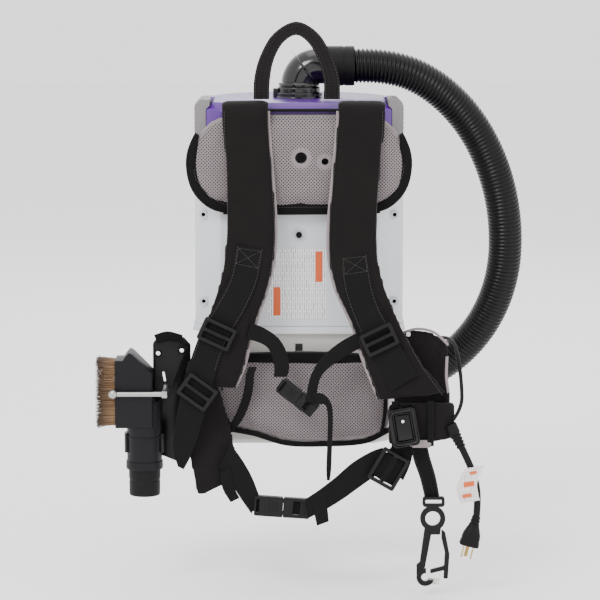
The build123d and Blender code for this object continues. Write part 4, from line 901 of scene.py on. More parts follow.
def inflate(obj: bpy.types.Object, voxel: float, pressure: float, cap: float,
            body_back: float | None = None) -> None:
    """Swell a closed soft shape with a cloth simulation and keep the result.

    Args:
        obj: the mesh, a little smaller than the finished pad.
        voxel: remesh size in millimetres.
        pressure: air pressure inside the cloth.
        cap: the most that a point may move, in millimetres.
        body_back: y behind which no point may go, in millimetres, or None.
    """
    modify(obj, "REMESH", mode="VOXEL", voxel_size=voxel * MM, adaptivity=0.0)
    rest = points_of(obj.data)
    cloth = obj.modifiers.new("cloth", "CLOTH")
    cloth.settings.use_pressure = True
    cloth.settings.uniform_pressure_force = pressure
    cloth.settings.effector_weights.gravity = 0.0
    cloth.settings.quality = CLOTH_QUALITY
    cloth.settings.mass = CLOTH_MASS
    cloth.collision_settings.use_collision = False
    cloth.point_cache.frame_start = 1
    cloth.point_cache.frame_end = CLOTH_FRAMES
    for number in range(1, CLOTH_FRAMES + 1):
        bpy.context.scene.frame_set(number)
    swollen = obj.evaluated_get(bpy.context.evaluated_depsgraph_get())
    shape = swollen.to_mesh()
    moved = points_of(shape) - rest
    swollen.to_mesh_clear()
    obj.modifiers.remove(cloth)
    bpy.context.scene.frame_set(1)
    moved -= moved.mean(axis=0)
    far = np.linalg.norm(moved, axis=1)
    moved *= np.minimum(1.0, cap * MM / np.maximum(far, 1e-9))[:, None]
    rest = rest + moved
    if body_back is not None:
        rest[:, 1] = np.minimum(rest[:, 1], body_back * MM)
    move_points(obj, rest)
    modify(obj, "SUBSURF", levels=1, render_levels=1)
    smooth(obj, 80.0)


def distance_to(outline: np.ndarray, spots: np.ndarray) -> np.ndarray:
    """Shortest distance from each spot to a closed outline.

    Args:
        outline: the outline's corner points.
        spots: the points to measure.

    Returns:
        One distance for each spot, in the points' unit.
    """
    nearest = np.full(len(spots), 1e9)
    for a, b in zip(outline, np.roll(outline, -1, axis=0)):
        leg = b - a
        t = np.clip(((spots - a) @ leg) / max(leg @ leg, 1e-12), 0, 1)
        nearest = np.minimum(nearest, np.linalg.norm(spots - a - t[:, None] * leg, axis=1))
    return nearest


# ==== shells ==================================================================================
@dataclass
class Shells:
    """The canister, the motor base below it, and what is printed and cut on their fronts."""

    front: float = 25.0
    rim: float = 368.0
    knob_z: float = 230.0
    label: tuple[float, float, float, float] = (-42.0, 37.0, 115.0, 212.0)
    bars: Sequence[tuple[float, float, float]] = ((-30.0, 119.0, 158.0), (27.0, 165.0, 207.0))
    hole_x: float = 130.0
    hole_rows: Sequence[float] = (136.0, 255.0)

    def on_skin(self, spot: Vector, length: float) -> bool:
        """True on the outside of the canister, where its edges are rounded."""
        outside = abs(spot.x) > 100 or spot.y < self.front + 1.5 or spot.y > 200
        return outside and length > 7 and abs(spot.z - self.rim + 3) > 0.5

    def build(self) -> None:
        """Round and dress both shells, then add the label, the knob and the eyelets."""
        moulded("canister", "canister_shell", 2.0, self.on_skin, SHELL_GREY, "pack", "canister_shell", segments=3)
        moulded("motor_base", "motor_base_shell", 1.2, longer(7), BASE_GREY, "pack", "base_shell")
        self.print_label()
        self.knob()
        self.eyelets()
        self.back_ribs()
        LOG.info("shells built")

    def print_label(self) -> None:
        """A thin film label with plain bars for words and two plain orange bars."""
        left, right, low, high = self.label
        corners = rectangle((left, low), (right, high), 3.0)
        film = cut_sheet("front_label", corners, self.front - 0.35, self.front - 0.02, 0.1)
        dress(film, LABEL_WHITE, "pack")
        for number, (x, bottom, top) in enumerate(self.bars, 1):
            shape = rectangle((x - 5, bottom), (x + 5, top), 1.5)
            bar = cut_sheet(f"label_bar_{number}", shape, self.front - 0.55, self.front - 0.3, 0.08)
            dress(bar, BAR_ORANGE, "pack")

    def knob(self) -> None:
        """The screw head in the raised ring: a dished disc with a cross recess."""
        disc = turned("knob_screw_head", (0.0, 21.2, self.knob_z), (0, -1, 0),
                      [(4.2, 0.0), (4.2, 1.6), (3.6, 2.2), (2.0, 2.3), (1.5, 1.2), (0.01, 1.1)], 32)
        dress(disc, SCREW_BLACK, "pack")
        ring = turned("knob_ring", (0.0, self.front - 1.4, self.knob_z), (0, -1, 0),
                      [(6.0, 0.2), (6.4, 1.0), (7.2, 1.4), (8.4, 1.2), (8.9, 0.3)], 48)
        dress(ring, SHELL_GREY, "pack")

    def eyelets(self) -> None:
        """Dark screw bosses behind the chamfered corners, with a thin ring round each."""
        corner = math.sqrt(0.5)
        for side in (-1, 1):
            for row, z in enumerate(self.hole_rows):
                well = turned(f"corner_eyelet_{'left' if side < 0 else 'right'}_{row}",
                              (side * self.hole_x, 48.3, z), (side * corner, -corner, 0),
                              [(0.01, 0.2), (3.6, 0.25), (4.1, 0.5), (4.6, 0.2), (4.7, -0.6)], 32)
                dress(well, SCREW_BLACK, "pack")

    def back_ribs(self) -> None:
        """Four low moulded ribs round the curved back."""
        for number, z in enumerate((150.0, 205.0, 260.0, 315.0)):
            rib = turned(f"back_rib_{number}", (0.0, 103.0, z), (0, 0, 1),
                         [(141.0, -2.4), (142.9, -1.6), (143.3, 0.0), (142.9, 1.6), (141.0, 2.4)], 128)
            with editing(rib):
                bpy.ops.mesh.select_all(action="SELECT")
                bpy.ops.mesh.bisect(plane_co=(0, 0.112, 0), plane_no=(0, 1, 0), clear_inner=True, use_fill=True)
            dress(rib, SHELL_GREY, "pack")
            smooth(rib, 40.0)


# ==== lid and latches =========================================================================
@dataclass
class Lid:
    """The purple lid, its collar and the two latches that hold it down."""

    top: float = 408.0
    inlet_y: float = 130.0
    rib: Point = (1.2, 34.0, 2.2)
    rib_pitch: float = 6.0

    def build(self) -> None:
        """Round and dress the lid, its collar and the latches, and add the latches' grips."""
        moulded("lid", "lid_shell", 1.6, self.on_crown, LID_PURPLE, "lid", "lid_shell", segments=3)
        collar = turned("inlet_collar_ring", (0.0, self.inlet_y, self.top), (0, 0, 1),
                        [(25.4, 14.6), (27.4, 15.0), (28.8, 14.6), (29.6, 13.0), (29.6, 8.0), (31.6, 7.4),
                         (32.6, 6.0), (32.6, 2.2), (33.6, 0.2)], 72)
        dress(collar, ELBOW_BLACK, "lid", ["inlet_collar"])
        lug = turned("collar_grip", (-31.0, self.inlet_y - 6.0, self.top + 0.3), (0, 0, 1),
                     [(5.0, 0.0), (5.0, 11.0), (4.2, 12.4), (0.01, 12.6)], 24)
        dress(lug, ELBOW_BLACK, "lid")
        for side in ("left", "right"):
            latch = f"latch_{side}"
            # the latch cheek's grey is painted shade, the tone of its shaded front face
            moulded(latch, f"{latch}_cheek", 0.9, longer(4), LATCH_SHADE_GREY, latch, "latch_grey")
            self.grip(side)
        LOG.info("lid built")

    def on_crown(self, spot: Vector, length: float) -> bool:
        """True on the lid's outside above its rim, where its edges are rounded."""
        return length > 5 and spot.z > 369 and spot.y < 250

    def grip(self, side: str) -> None:
        """Five low finger ribs on a latch's outer face."""
        sign = -1 if side == "left" else 1
        model = primitive("cube", size=1.0, scale=[c * MM for c in self.rib])
        settle(model)
        modify(model, "BEVEL", width=0.5 * MM, segments=2)
        places = [Matrix.Translation(Vector((sign * 141.9, 79.0,
                                             372.0 + i * self.rib_pitch)) * MM) for i in range(5)]
        ribs = scattered(f"latch_{side}_grip", model, places)
        # the grip ribs take the same painted-shade grey as the latch
        dress(ribs, LATCH_SHADE_GREY, f"latch_{side}")


# ==== elbow and hose ==========================================================================
@dataclass
class Hose:
    """The swivelling elbow, the corrugated hose and its two cuffs and tie."""

    radius: float = 23.7
    pitch: float = 5.6
    groove: float = 2.1
    around: int = 36
    steps: int = 6
    inlet_y: float = 130.0
    lid_top: float = 408.0
    axis_z: float = 451.0
    elbow_r: float = 24.8
    bend: float = 27.0
    cuff: tuple[float, float] = (36.0, 76.5)
    end_length: float = 62.0
    points: Sequence[Point] = (
        (76.5, 130, 451), (125, 133, 452), (186, 142, 426), (240, 158, 372), (276, 176, 300), (293, 196, 220),
        (290, 217, 140), (262, 240, 68), (212, 262, 12), (146, 278, -22), (72, 287, -28), (2, 290, -6),
        (-55, 290, 40), (-88, 290, 106), (-90, 290, 180), (-62, 290, 248), (-10, 290, 300), (36, 290, 326),
    )

    def build(self) -> None:
        self.elbow()
        top = turned("hose_cuff_top_soft", (0.0, self.inlet_y, self.axis_z), (1, 0, 0),
                     [(24.9, 36.2), (26.6, 36.0), (27.2, 37.4), (27.3, 60.0), (26.7, 61.0), (26.7, 63.0),
                      (27.3, 64.0), (27.3, 74.0), (26.6, 76.3), (23.0, 76.5)], 64)
        dress(top, CUFF_BLACK, "elbow", ["hose_cuff_top"])
        line = route_line("hose_line", self.points)
        end = self.end_cuff(line)
        hose = self.corrugated(line)
        dress(hose, HOSE_BLACK, "lid", ["hose"])
        hose.parent = None
        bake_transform(hose)
        self.tie()

    def elbow(self) -> None:
        """One circle drawn up, spun through a quarter turn and drawn out to the cuff."""
        foot = (0, self.inlet_y * MM, (self.lid_top + 0.5) * MM)
        tube = primitive("circle", vertices=64, radius=self.elbow_r * MM, location=foot)
        tube.name = "elbow_tube"
        settle(tube)
        rise = self.axis_z - self.bend - self.lid_top - 0.5
        with editing(tube):
            bpy.ops.mesh.select_all(action="SELECT")
            bpy.ops.mesh.extrude_edges_move(TRANSFORM_OT_translate={"value": (0, 0, rise * MM)})
            bpy.ops.mesh.spin(steps=20, angle=math.radians(-90),
                              center=(self.bend * MM, self.inlet_y * MM, (self.axis_z - self.bend) * MM),
                              axis=(0, 1, 0))
            bpy.ops.mesh.extrude_edges_move(TRANSFORM_OT_translate={"value": ((self.cuff[1] - 12 - self.bend) * MM,
                                                                              0, 0)})
        outward(tube)
        modify(tube, "SOLIDIFY", thickness=3.4 * MM, offset=-1.0)
        smooth(tube, 40.0)
        dress(tube, ELBOW_BLACK, "elbow", ["elbow"])
        skirt = turned("elbow_skirt", (0.0, self.inlet_y, self.lid_top), (0, 0, 1),
                       [(24.7, 15.4), (27.4, 15.6), (28.4, 16.4), (28.4, 19.0), (27.0, 20.6), (24.6, 21.4)], 64)
        dress(skirt, ELBOW_BLACK, "elbow")
        turn = math.radians(52)
        spot = (self.bend - self.bend * math.cos(turn), self.inlet_y,
                self.axis_z - self.bend + self.bend * math.sin(turn))
        bead = turned("elbow_seam_bead", spot, (math.sin(turn), 0, math.cos(turn)),
                      [(24.7, -1.8), (25.5, -1.2), (25.8, 0.0), (25.5, 1.2), (24.7, 1.8)], 64)
        dress(bead, ELBOW_BLACK, "elbow")

    def end_cuff(self, line: np.ndarray) -> bpy.types.Object:
        """The soft cuff that tools push into, with a stepped collar and its bore."""
        out = (line[-1] - line[-2]) / np.linalg.norm(line[-1] - line[-2])
        length = self.end_length
        cuff = turned("hose_cuff_end_soft", tuple(line[-1] / MM), tuple(out),
                      [(23.2, 0.2), (26.4, 0.3), (27.2, 2.0), (27.2, 30.0), (25.6, 33.0), (25.4, length - 8),
                       (26.6, length - 6), (26.8, length - 1.2),
                       (26.0, length - 0.1), (16.6, length), (16.0, length - 1.2), (16.0, 0.2)], 64)
        return dress(cuff, CUFF_BLACK, "lid", ["hose_cuff_end"])

    def corrugated(self, line: np.ndarray) -> bpy.types.Object:
        """A tube whose wall rises and falls once each pitch in a slow spiral along the route."""
        run = run_along(line)
        spots = np.arange(0, run[-1], self.pitch * MM / self.steps)
        centre = np.stack([np.interp(spots, run, line[:, k]) for k in range(3)], axis=1)
        along = unit_rows(np.gradient(centre, axis=0))
        across = np.zeros_like(along)
        across[0] = np.cross(along[0], (0, 1, 0))
        across[0] /= np.linalg.norm(across[0])
        for i in range(1, len(along)):
            level = across[i - 1] - along[i] * (across[i - 1] @ along[i])
            across[i] = level / np.linalg.norm(level)
        other = np.cross(along, across)
        t = turns(self.around)
        phase = spots[:, None] / (self.pitch * MM) * 2 * math.pi - t[None]
        wave = np.clip(0.5 + 0.85 * np.cos(phase), 0, 1)
        radius = (self.radius - self.groove * (1 - wave)) * MM
        level, upright = across[:, None] * np.cos(t)[None, :, None], other[:, None] * np.sin(t)[None, :, None]
        rings = centre[:, None] + radius[..., None] * (level + upright)
        hose = loft("hose_corrugated", rings)
        smooth(hose, 60.0)
        return hose

    def tie(self) -> None:
        """The hook-and-loop band round the put-away hose."""
        moulded("hose_tie", "hose_tie_band", 0.6, longer(2), STRAP_WEB, "pack", "webbing", shortest=2.0)


def nurbs(name: str, points: Sequence[Point], count: int) -> bpy.types.Curve:
    """A smooth open curve with these control points, in millimetres."""
    curve = bpy.data.curves.new(name, "CURVE")
    curve.dimensions = "3D"
    line = curve.splines.new("NURBS")
    line.points.add(len(points) - 1)
    for place, point in zip(line.points, points):
        place.co = (*(c * MM for c in point), 1.0)
    line.order_u = 3
    line.use_endpoint_u = True
    curve.resolution_u = count
    return curve


def route_line(name: str, points: Sequence[Point], count: int = 40) -> np.ndarray:
    """Follow the smooth curve that has these control points.

    Args:
        name: a name for the working curve.
        points: the control points, in millimetres.
        count: steps for each control point.

    Returns:
        Points on the curve, in metres.
    """
    obj = placed(name, nurbs(name, points, count))
    mesh = bpy.data.meshes.new_from_object(obj)
    found = points_of(mesh)
    bpy.data.objects.remove(obj)
    bpy.data.meshes.remove(mesh)
    first = np.array(points[0]) * MM
    backwards = np.linalg.norm(found[0] - first) > np.linalg.norm(found[-1] - first)
    return found[::-1] if backwards else found


# ==== pads ====================================================================================
@dataclass
class Pad:
    """A foam pad in spacer mesh: crowned in the middle and pressed thin along its rim."""

    name: str
    outline: Sequence[Spot]
    back: float = 21.2
    rim_depth: float = 9.0
    crown: float = 15.5
    slope: float = 26.0
    dimples: Sequence[tuple[float, float, float]] = ()
    closed_rim: float = 9.0
    voxel: float = 4.6

    def build(self) -> bpy.types.Object:
        """Cut, crown and swell the pad, then bore its holes and mark its rim."""
        pad = cut_sheet(self.name, self.outline, self.back - 10.0, self.back, 2.5)
        modify(pad, "REMESH", mode="VOXEL", voxel_size=self.voxel * MM, adaptivity=0.0)
        edge = np.array(self.outline)
        co = points_of(pad.data) / MM
        far = distance_to(edge, co[:, [0, 2]])
        t = np.clip(far / self.slope, 0, 1)
        depth = self.rim_depth + (self.crown - self.rim_depth) * t * t * (3 - 2 * t)
        for x, z, radius in self.dimples:
            near = np.hypot(co[:, 0] - x, co[:, 2] - z)
            depth -= 3.2 * np.exp(-((near / (radius * 1.7)) ** 2))
        co[:, 1] = self.back - (self.back - co[:, 1]) / 10.0 * depth
        move_points(pad, co * MM)
        inflate(pad, self.voxel, 4.0, 4.0, self.back)
        for x, z, radius in self.dimples:
            drill = primitive("cylinder", vertices=32, radius=radius * MM, depth=60 * MM,
                              location=(x * MM, self.back * MM, z * MM), rotation=(math.radians(90), 0, 0))
            modify(pad, "BOOLEAN", operation="DIFFERENCE", solver="EXACT", object=drill)
            bpy.data.objects.remove(drill)
        self.mark_rim(pad, edge)
        smooth(pad, 80.0)
        return pad

    def mark_rim(self, pad: bpy.types.Object, edge: np.ndarray) -> None:
        """Write the attribute that closes the mesh's holes along the rim and round the dimples."""
        co = points_of(pad.data) / MM
        spots = co[:, [0, 2]]
        rim = 1 - np.clip((distance_to(edge, spots) - self.closed_rim) / 3.0, 0, 1)
        for x, z, radius in self.dimples:
            near = np.hypot(spots[:, 0] - x, spots[:, 1] - z)
            rim = np.maximum(rim, 1 - np.clip((near - radius - 3.0) / 4.0, 0, 1))
        layer = pad.data.attributes.new("rim", "FLOAT", "POINT")
        layer.data.foreach_set("value", rim.astype(np.float32))


def edge_tape(name: str, path: Sequence[Spot], widths: Sequence[float], front: float, back: float,
              proud: float = 1.2) -> bpy.types.Object:
    """Binding tape folded over a pad's edge.

    Args:
        name: the piece's name.
        path: points along the pad's edge, with the pad on the left of the way they run.
        widths: how far the tape reaches over the face at each point, in millimetres.
        front: y of the tape's outer face.
        back: y of its back face.
        proud: how far it stands outside the edge.

    Returns:
        The new object.
    """
    raw = np.array([[x, 0.0, z, w] for (x, z), w in zip(path, widths)])
    fine = catmull(raw, 5.0)
    along = unit_rows(np.gradient(fine[:, [0, 2]], axis=0))
    inner = np.stack([-along[:, 1], along[:, 0]], axis=1)
    run = run_along(fine[:, [0, 2]])
    section = [(1.0, front + 1.6), (0.96, front + 0.5), (0.9, front), (0.5, front - 0.2), (0.12, front + 0.1),
               (-0.02, front + 1.4)]
    section += [(-0.02, back - 1.0), (0.1, back), (0.9, back), (1.0, back - 1.4)]
    rings, uv = [], []
    for i, spot in enumerate(fine):
        wide = spot[3]
        ring = []
        for share, y in section:
            reach = share * wide if share > 0 else -proud
            ring.append(((spot[0] + inner[i, 0] * reach) * MM, y * MM, (spot[2] + inner[i, 1] * reach) * MM))
        rings.append(ring)
        uv.append([(j * 2.0 * MM, run[i] * MM) for j in range(len(section))])
    tape = loft(name, np.array(rings), np.array(uv))
    smooth(tape, 50.0)
    return tape


@dataclass
class Padding:
    """The upper pad, the lumbar pad, their bindings and piping."""

    top: float = 400.0
    bottom: float = 259.5
    half: float = 151.0
    widest: float = 326.0
    cord_wide: float = 2.6
    cord_deep: float = 2.2
    lumbar_seams: Sequence[Sequence[Spot]] = (
        ((-96, 64), (-103, 40), (-103, 10), (-98, -20), (-90, -38)),
        ((116, 62), (118, 30), (117, -10), (112, -44)),
    )

    def side(self, sign: float) -> list[Spot]:
        """The upper pad's rounded side, from its top corner to its bottom corner."""
        knots = np.array([(88, self.top), (125, 385), (145, 356), (self.half, self.widest), (143, 292), (119, 268),
                          (85, self.bottom)], float)
        fine = catmull(np.column_stack([knots[:, 0], np.zeros(len(knots)), knots[:, 1]]), 6.0)
        return [(sign * x, z) for x, _, z in fine]

    def build(self) -> None:
        """Build both pads and everything sewn round them."""
        right, left = self.side(1.0), self.side(-1.0)
        outline = right + left[::-1]
        upper = Pad("upper_pad_mesh", outline, dimples=((2.7, 336.0, 8.0), (35.0, 331.0, 4.8)), closed_rim=7.0)
        piece = dress(upper.build(), PAD_MESH, "pack", ["upper_pad"])
        self.upper_binding(right, left)
        self.lumbar_pad()
        LOG.info("pads built")

    def upper_binding(self, right: list[Spot], left: list[Spot]) -> None:
        """Wide tape round the sides and the foot of the upper pad, and a thin line on its top."""
        path = [spot for spot in left if spot[1] < 372] + [spot for spot in right if spot[1] < 372][::-1]
        path = path[:: 2] + [path[-1]]
        widths = [3.0 + 10.0 * min(1.0, (372 - z) / 22) + 14.0 * max(0.0, 1 - abs(x) / 118) for x, z in path]
        tape = edge_tape("upper_pad_binding", path, widths, 7.6, 21.3)
        dress(tape, BINDING, "pack")
        line = [(92, self.top - 0.5), (40, self.top), (-40, self.top), (-92, self.top - 0.5)]
        cord = edge_tape("upper_pad_top_line", line, [2.6] * 4, 9.4, 21.3, 1.0)
        dress(cord, BINDING, "pack")
        row = []
        for x, z in path[4:-4]:
            row.append((x * (1 - 12.0 / max(60.0, abs(x) + 40)), 7.1, z + 9.0 * (1 if z < 300 else 0.2)))
        sewn = stitches("upper_pad_binding_stitches", np.array(row) * MM, np.tile(FORWARDS, (len(row), 1)))
        dress(sewn, THREAD, "pack")

    def lumbar_pad(self) -> None:
        """The lumbar pad with its black top band, bottom piping and two upright seams."""
        corners = [(-102, 66), (0, 69), (112, 66), (126, 44), (126, -38), (90, -54), (40, -58), (-16, -57),
                   (-60, -44), (-108, -33), (-120, -14), (-120, 44)]
        outline = rounded(corners, 12.0, 5)
        lumbar = Pad("lumbar_pad_mesh", outline, crown=17.0, slope=34.0, rim_depth=11.0, closed_rim=8.0)
        piece = dress(lumbar.build(), PAD_MESH, "pack", ["lumbar_pad"])
        top = [(124, 52), (112, 64), (60, 68), (0, 69.5), (-60, 68), (-102, 65.5), (-117, 50)]
        tape = edge_tape("lumbar_top_band", top, [6, 11, 14, 13, 12, 12, 7], 6.2, 21.2, 1.0)
        dress(tape, BINDING, "pack")
        foot = [(-119, -14), (-108, -33), (-60, -44), (-16, -57), (40, -58), (90, -54), (124, -38)]
        hem = edge_tape("lumbar_bottom_piping", foot, [4.5] * 7, 8.2, 21.2, 1.4)
        dress(hem, BINDING, "pack")
        for number, path in enumerate(self.lumbar_seams, 1):
            raw = np.array([(x, 6.4, z) for x, z in path], float)
            raw[[0, -1], 1] = 8.4
            self.piping(f"lumbar_piping_{number}", raw)

    def piping(self, name: str, raw: np.ndarray) -> None:
        """A corded seam laid along the pad's face."""
        fine = catmull(raw, 4.0) * MM
        t = turns(12)
        along = unit_rows(np.gradient(fine, axis=0))
        across = unit_rows(np.cross(along, (0, 1, 0)))
        other = np.cross(across, along)
        level, upright = across[:, None] * np.cos(t)[None, :, None], other[:, None] * np.sin(t)[None, :, None]
        rings = fine[:, None] + self.cord_wide * MM * level + self.cord_deep * MM * upright
        run = run_along(fine)
        uv = np.stack([np.tile(t * 2.4 * MM, (len(fine), 1)), np.tile(run[:, None], (1, 12))], axis=2)
        cord = loft(name, rings, uv)
        smooth(cord, 60.0)
        dress(cord, BINDING, "pack")


# ==== shoulder harness ========================================================================
LEFT_OUTER = [(-104, 390), (-104, 376), (-101, 323), (-100, 256), (-102, 215), (-107, 182), (-117, 148),
              (-129, 115), (-140, 88), (-149, 61), (-153, 34)]
LEFT_INNER = [(-38, 390), (-37, 376), (-33, 323), (-29, 270), (-28, 236), (-31, 199), (-39, 162), (-50, 132),
              (-61, 98), (-70, 60), (-82, 28)]
RIGHT_OUTER = [(116, 390), (116, 376), (112, 323), (108, 262), (108, 215), (112, 188), (120, 160), (134, 126),
               (147, 99), (168, 62), (198, 24)]
RIGHT_INNER = [(49, 390), (48, 376), (43, 323), (38, 270), (36, 236), (37, 205), (44, 168), (56, 140), (70, 110),
               (82, 72), (103, 15)]
LEFT_DEPTHS = [-2.4, -2.8, -8, -16, -21, -25, -28, -31, -34, -38, -42]
RIGHT_DEPTHS = [-2.4, -2.8, -8, -16, -21, -25, -28, -31, -34, -45, -57]
OVER_THE_TOP = [(21, 408.7), (9, 408.7), (1, 406), (-2.3, 399.5)]
LEFT_WEB = [((-84, -28.5, 222), (-46, -28.5, 217)), ((-92, -34, 180), (-56, -34, 171)),
            ((-108, -37.5, 148), (-73, -37.5, 134)),
            ((-128, -41, 114), (-94, -41, 98)), ((-141, -45, 82), (-107, -45, 66)),
            ((-154, -51, 42), (-120, -51, 22)),
            ((-166, -48, -16), (-134, -48, -28)), ((-169, -44, -52), (-146, -44, -62)),
            ((-163, -41, -76), (-155, -41, -80))]
RIGHT_WEB = [((54, -28.5, 207), (92, -28.5, 211)), ((60, -34, 164), (98, -34, 170)),
             ((72, -38.5, 128), (108, -38.5, 139)),
             ((88, -46, 92), (124, -46, 110)), ((103, -53, 60), (139, -53, 82)), ((122, -61, 30), (158, -61, 52))]
LOOP = [((-61, 15, 414.2), (-40, 15, 414.2)), ((-60, 15, 442), (-39, 15, 440)), ((-52, 15, 472), (-34, 15, 466)),
        ((-34, 15, 502), (-22, 15, 489)),
        ((-4, 15, 518), (-4, 15, 500)), ((25, 15, 503), (13, 15, 489)), ((44, 15, 472), (26, 15, 466)),
        ((54, 15, 442), (33, 15, 440)), ((55, 15, 414.2), (33, 15, 414.2))]


class Side(Enum):
    """Which shoulder a strap lies on; the wearer's right is +X."""

    LEFT = "left"
    RIGHT = "right"


def strap_edges(outer: Sequence[Spot], inner: Sequence[Spot], depths: Sequence[float]) -> list[Edge]:
    """Edge points of a shoulder strap: over the pad's top edge, then down the front."""
    top = [((outer[0][0], y, z), (inner[0][0], y, z)) for y, z in OVER_THE_TOP]
    return top + [((a[0], y, a[1]), (b[0], y, b[1])) for a, b, y in zip(outer, inner, depths)]


@dataclass
class Shoulder:
    """One padded shoulder strap: cloth face, mesh lining, seams and the webbing sewn on it."""

    side: Side
    outer: Sequence[Spot]
    inner: Sequence[Spot]
    depths: Sequence[float]
    web: Sequence[Edge]
    thickness: float = 8.6
    lining_inset: float = 5.0
    lining_proud: float = -0.7

    def build(self) -> None:
        """Swell the padded strap, then add its lining, seams and webbing."""
        name = self.side.value
        edges = strap_edges(self.outer, self.inner, self.depths)
        pad = Ribbon(f"shoulder_strap_{name}", edges, self.thickness, STRAP_CLOTH, "pack", "nylon", square=7.0,
                     crown=2.2, lift=0.8)
        piece = pad.build()
        inflate(piece, 4.4, 3.0, 2.2)
        dress(piece, STRAP_CLOTH, "pack", [f"shoulder_pad_{name}"])
        centre, across, out, width, _ = pad.stations()
        grown = []
        for a, b in ((np.array(e[0], float), np.array(e[1], float)) for e in edges[3:]):
            unit = (b - a) / np.linalg.norm(b - a)
            grown.append((tuple(a + self.lining_inset * unit), tuple(b + self.lining_proud * unit)))
        grown[-1] = tuple(tuple(np.array(spot) + (0.0, 0.0, 5.0)) for spot in grown[-1])
        lining = Ribbon(f"strap_lining_{name}", grown, 3.2, MESH_EDGE, "pack", "mesh_pad", square=9.0, crown=2.4,
                        lift=-3.6)
        lining.make()
        for number, share in enumerate((-0.87, 0.87), 1):
            path = centre + across * (width * share)[:, None] + out * 4.9 * MM
            sewn = stitches(f"shoulder_seam_{name}_{number}", path[6:], out[6:])
            dress(sewn, THREAD, "pack")
        strap = web(f"strap_webbing_{name}", self.web, 2.2, [f"webbing_{name}"], lift=1.2)
        for number, share in enumerate((-0.86, 0.86), 1):
            strap.seam(f"webbing_seam_{name}_{number}", share, 0.55)
        self.box_stitch(name)

    def box_stitch(self, name: str) -> None:
        """The sewn box with crossed rows that holds the webbing's top end."""
        (a, b), (c, d) = self.web[0], self.web[1]
        low = 0.62
        a, b, c, d = (np.array(p, float) for p in (a, b, c, d))
        corners = [a, b, b * (1 - low) + d * low, a * (1 - low) + c * low]
        middle = sum(corners) / 4
        inset = [middle + (p - middle) * 0.78 for p in corners]
        rows = [(0, 1), (1, 2), (2, 3), (3, 0), (0, 2), (1, 3)]
        for number, (i, j) in enumerate(rows, 1):
            path = np.linspace(inset[i], inset[j], 12)
            path[:, 1] -= 2.6
            sewn = stitches(f"box_stitch_{name}_{number}", path * MM, np.tile(FORWARDS, (12, 1)), 3.4)
            dress(sewn, THREAD, "pack")


@dataclass
class Fitting:
    """A moulded strap fitting: a CAD piece with rounded edges and moulded ribs."""

    node: str
    body: str
    rounding: float = 0.9
    slot: str = "buckle_black"

    def build(self) -> None:
        """Round the piece and dress it."""
        name = f"{self.node}_moulded"
        moulded(self.node, name, self.rounding, longer(2.4), BUCKLE_BLACK, self.body, self.slot, shortest=2.4)

    def ribs(self, centre: Point, tilt: float, length: float, offsets: Sequence[float], height: float,
             radius: float = 0.8) -> None:
        """Low raised ribs across the fitting's front.

        Args:
            centre: the fitting's middle, in millimetres.
            tilt: how far its length is turned from X, in degrees.
            length: each rib's length.
            offsets: each rib's place along the fitting's local X.
            height: y of the ribs' middles.
            radius: each rib's radius.
        """
        model = primitive("cylinder", vertices=10, radius=radius * MM, depth=length * MM)
        modify(model, "BEVEL", width=radius * 0.4 * MM, segments=1)
        turn = Matrix.Rotation(-math.radians(tilt), 4, "Y")
        middle = Matrix.Translation(Vector((centre[0], height, centre[2])) * MM)
        places = [middle @ turn @ Matrix.Translation(Vector((o, 0, 0)) * MM) for o in offsets]
        made = scattered(f"{self.node}_ribs", model, places)
        dress(made, BUCKLE_BLACK, self.body)


CHEST_BUCKLE, CHEST_TILT = (-1.8, 0, 18.0), -37.7
WAIST_BUCKLE, WAIST_TILT = (-23.0, 0, -128.0), -4.0


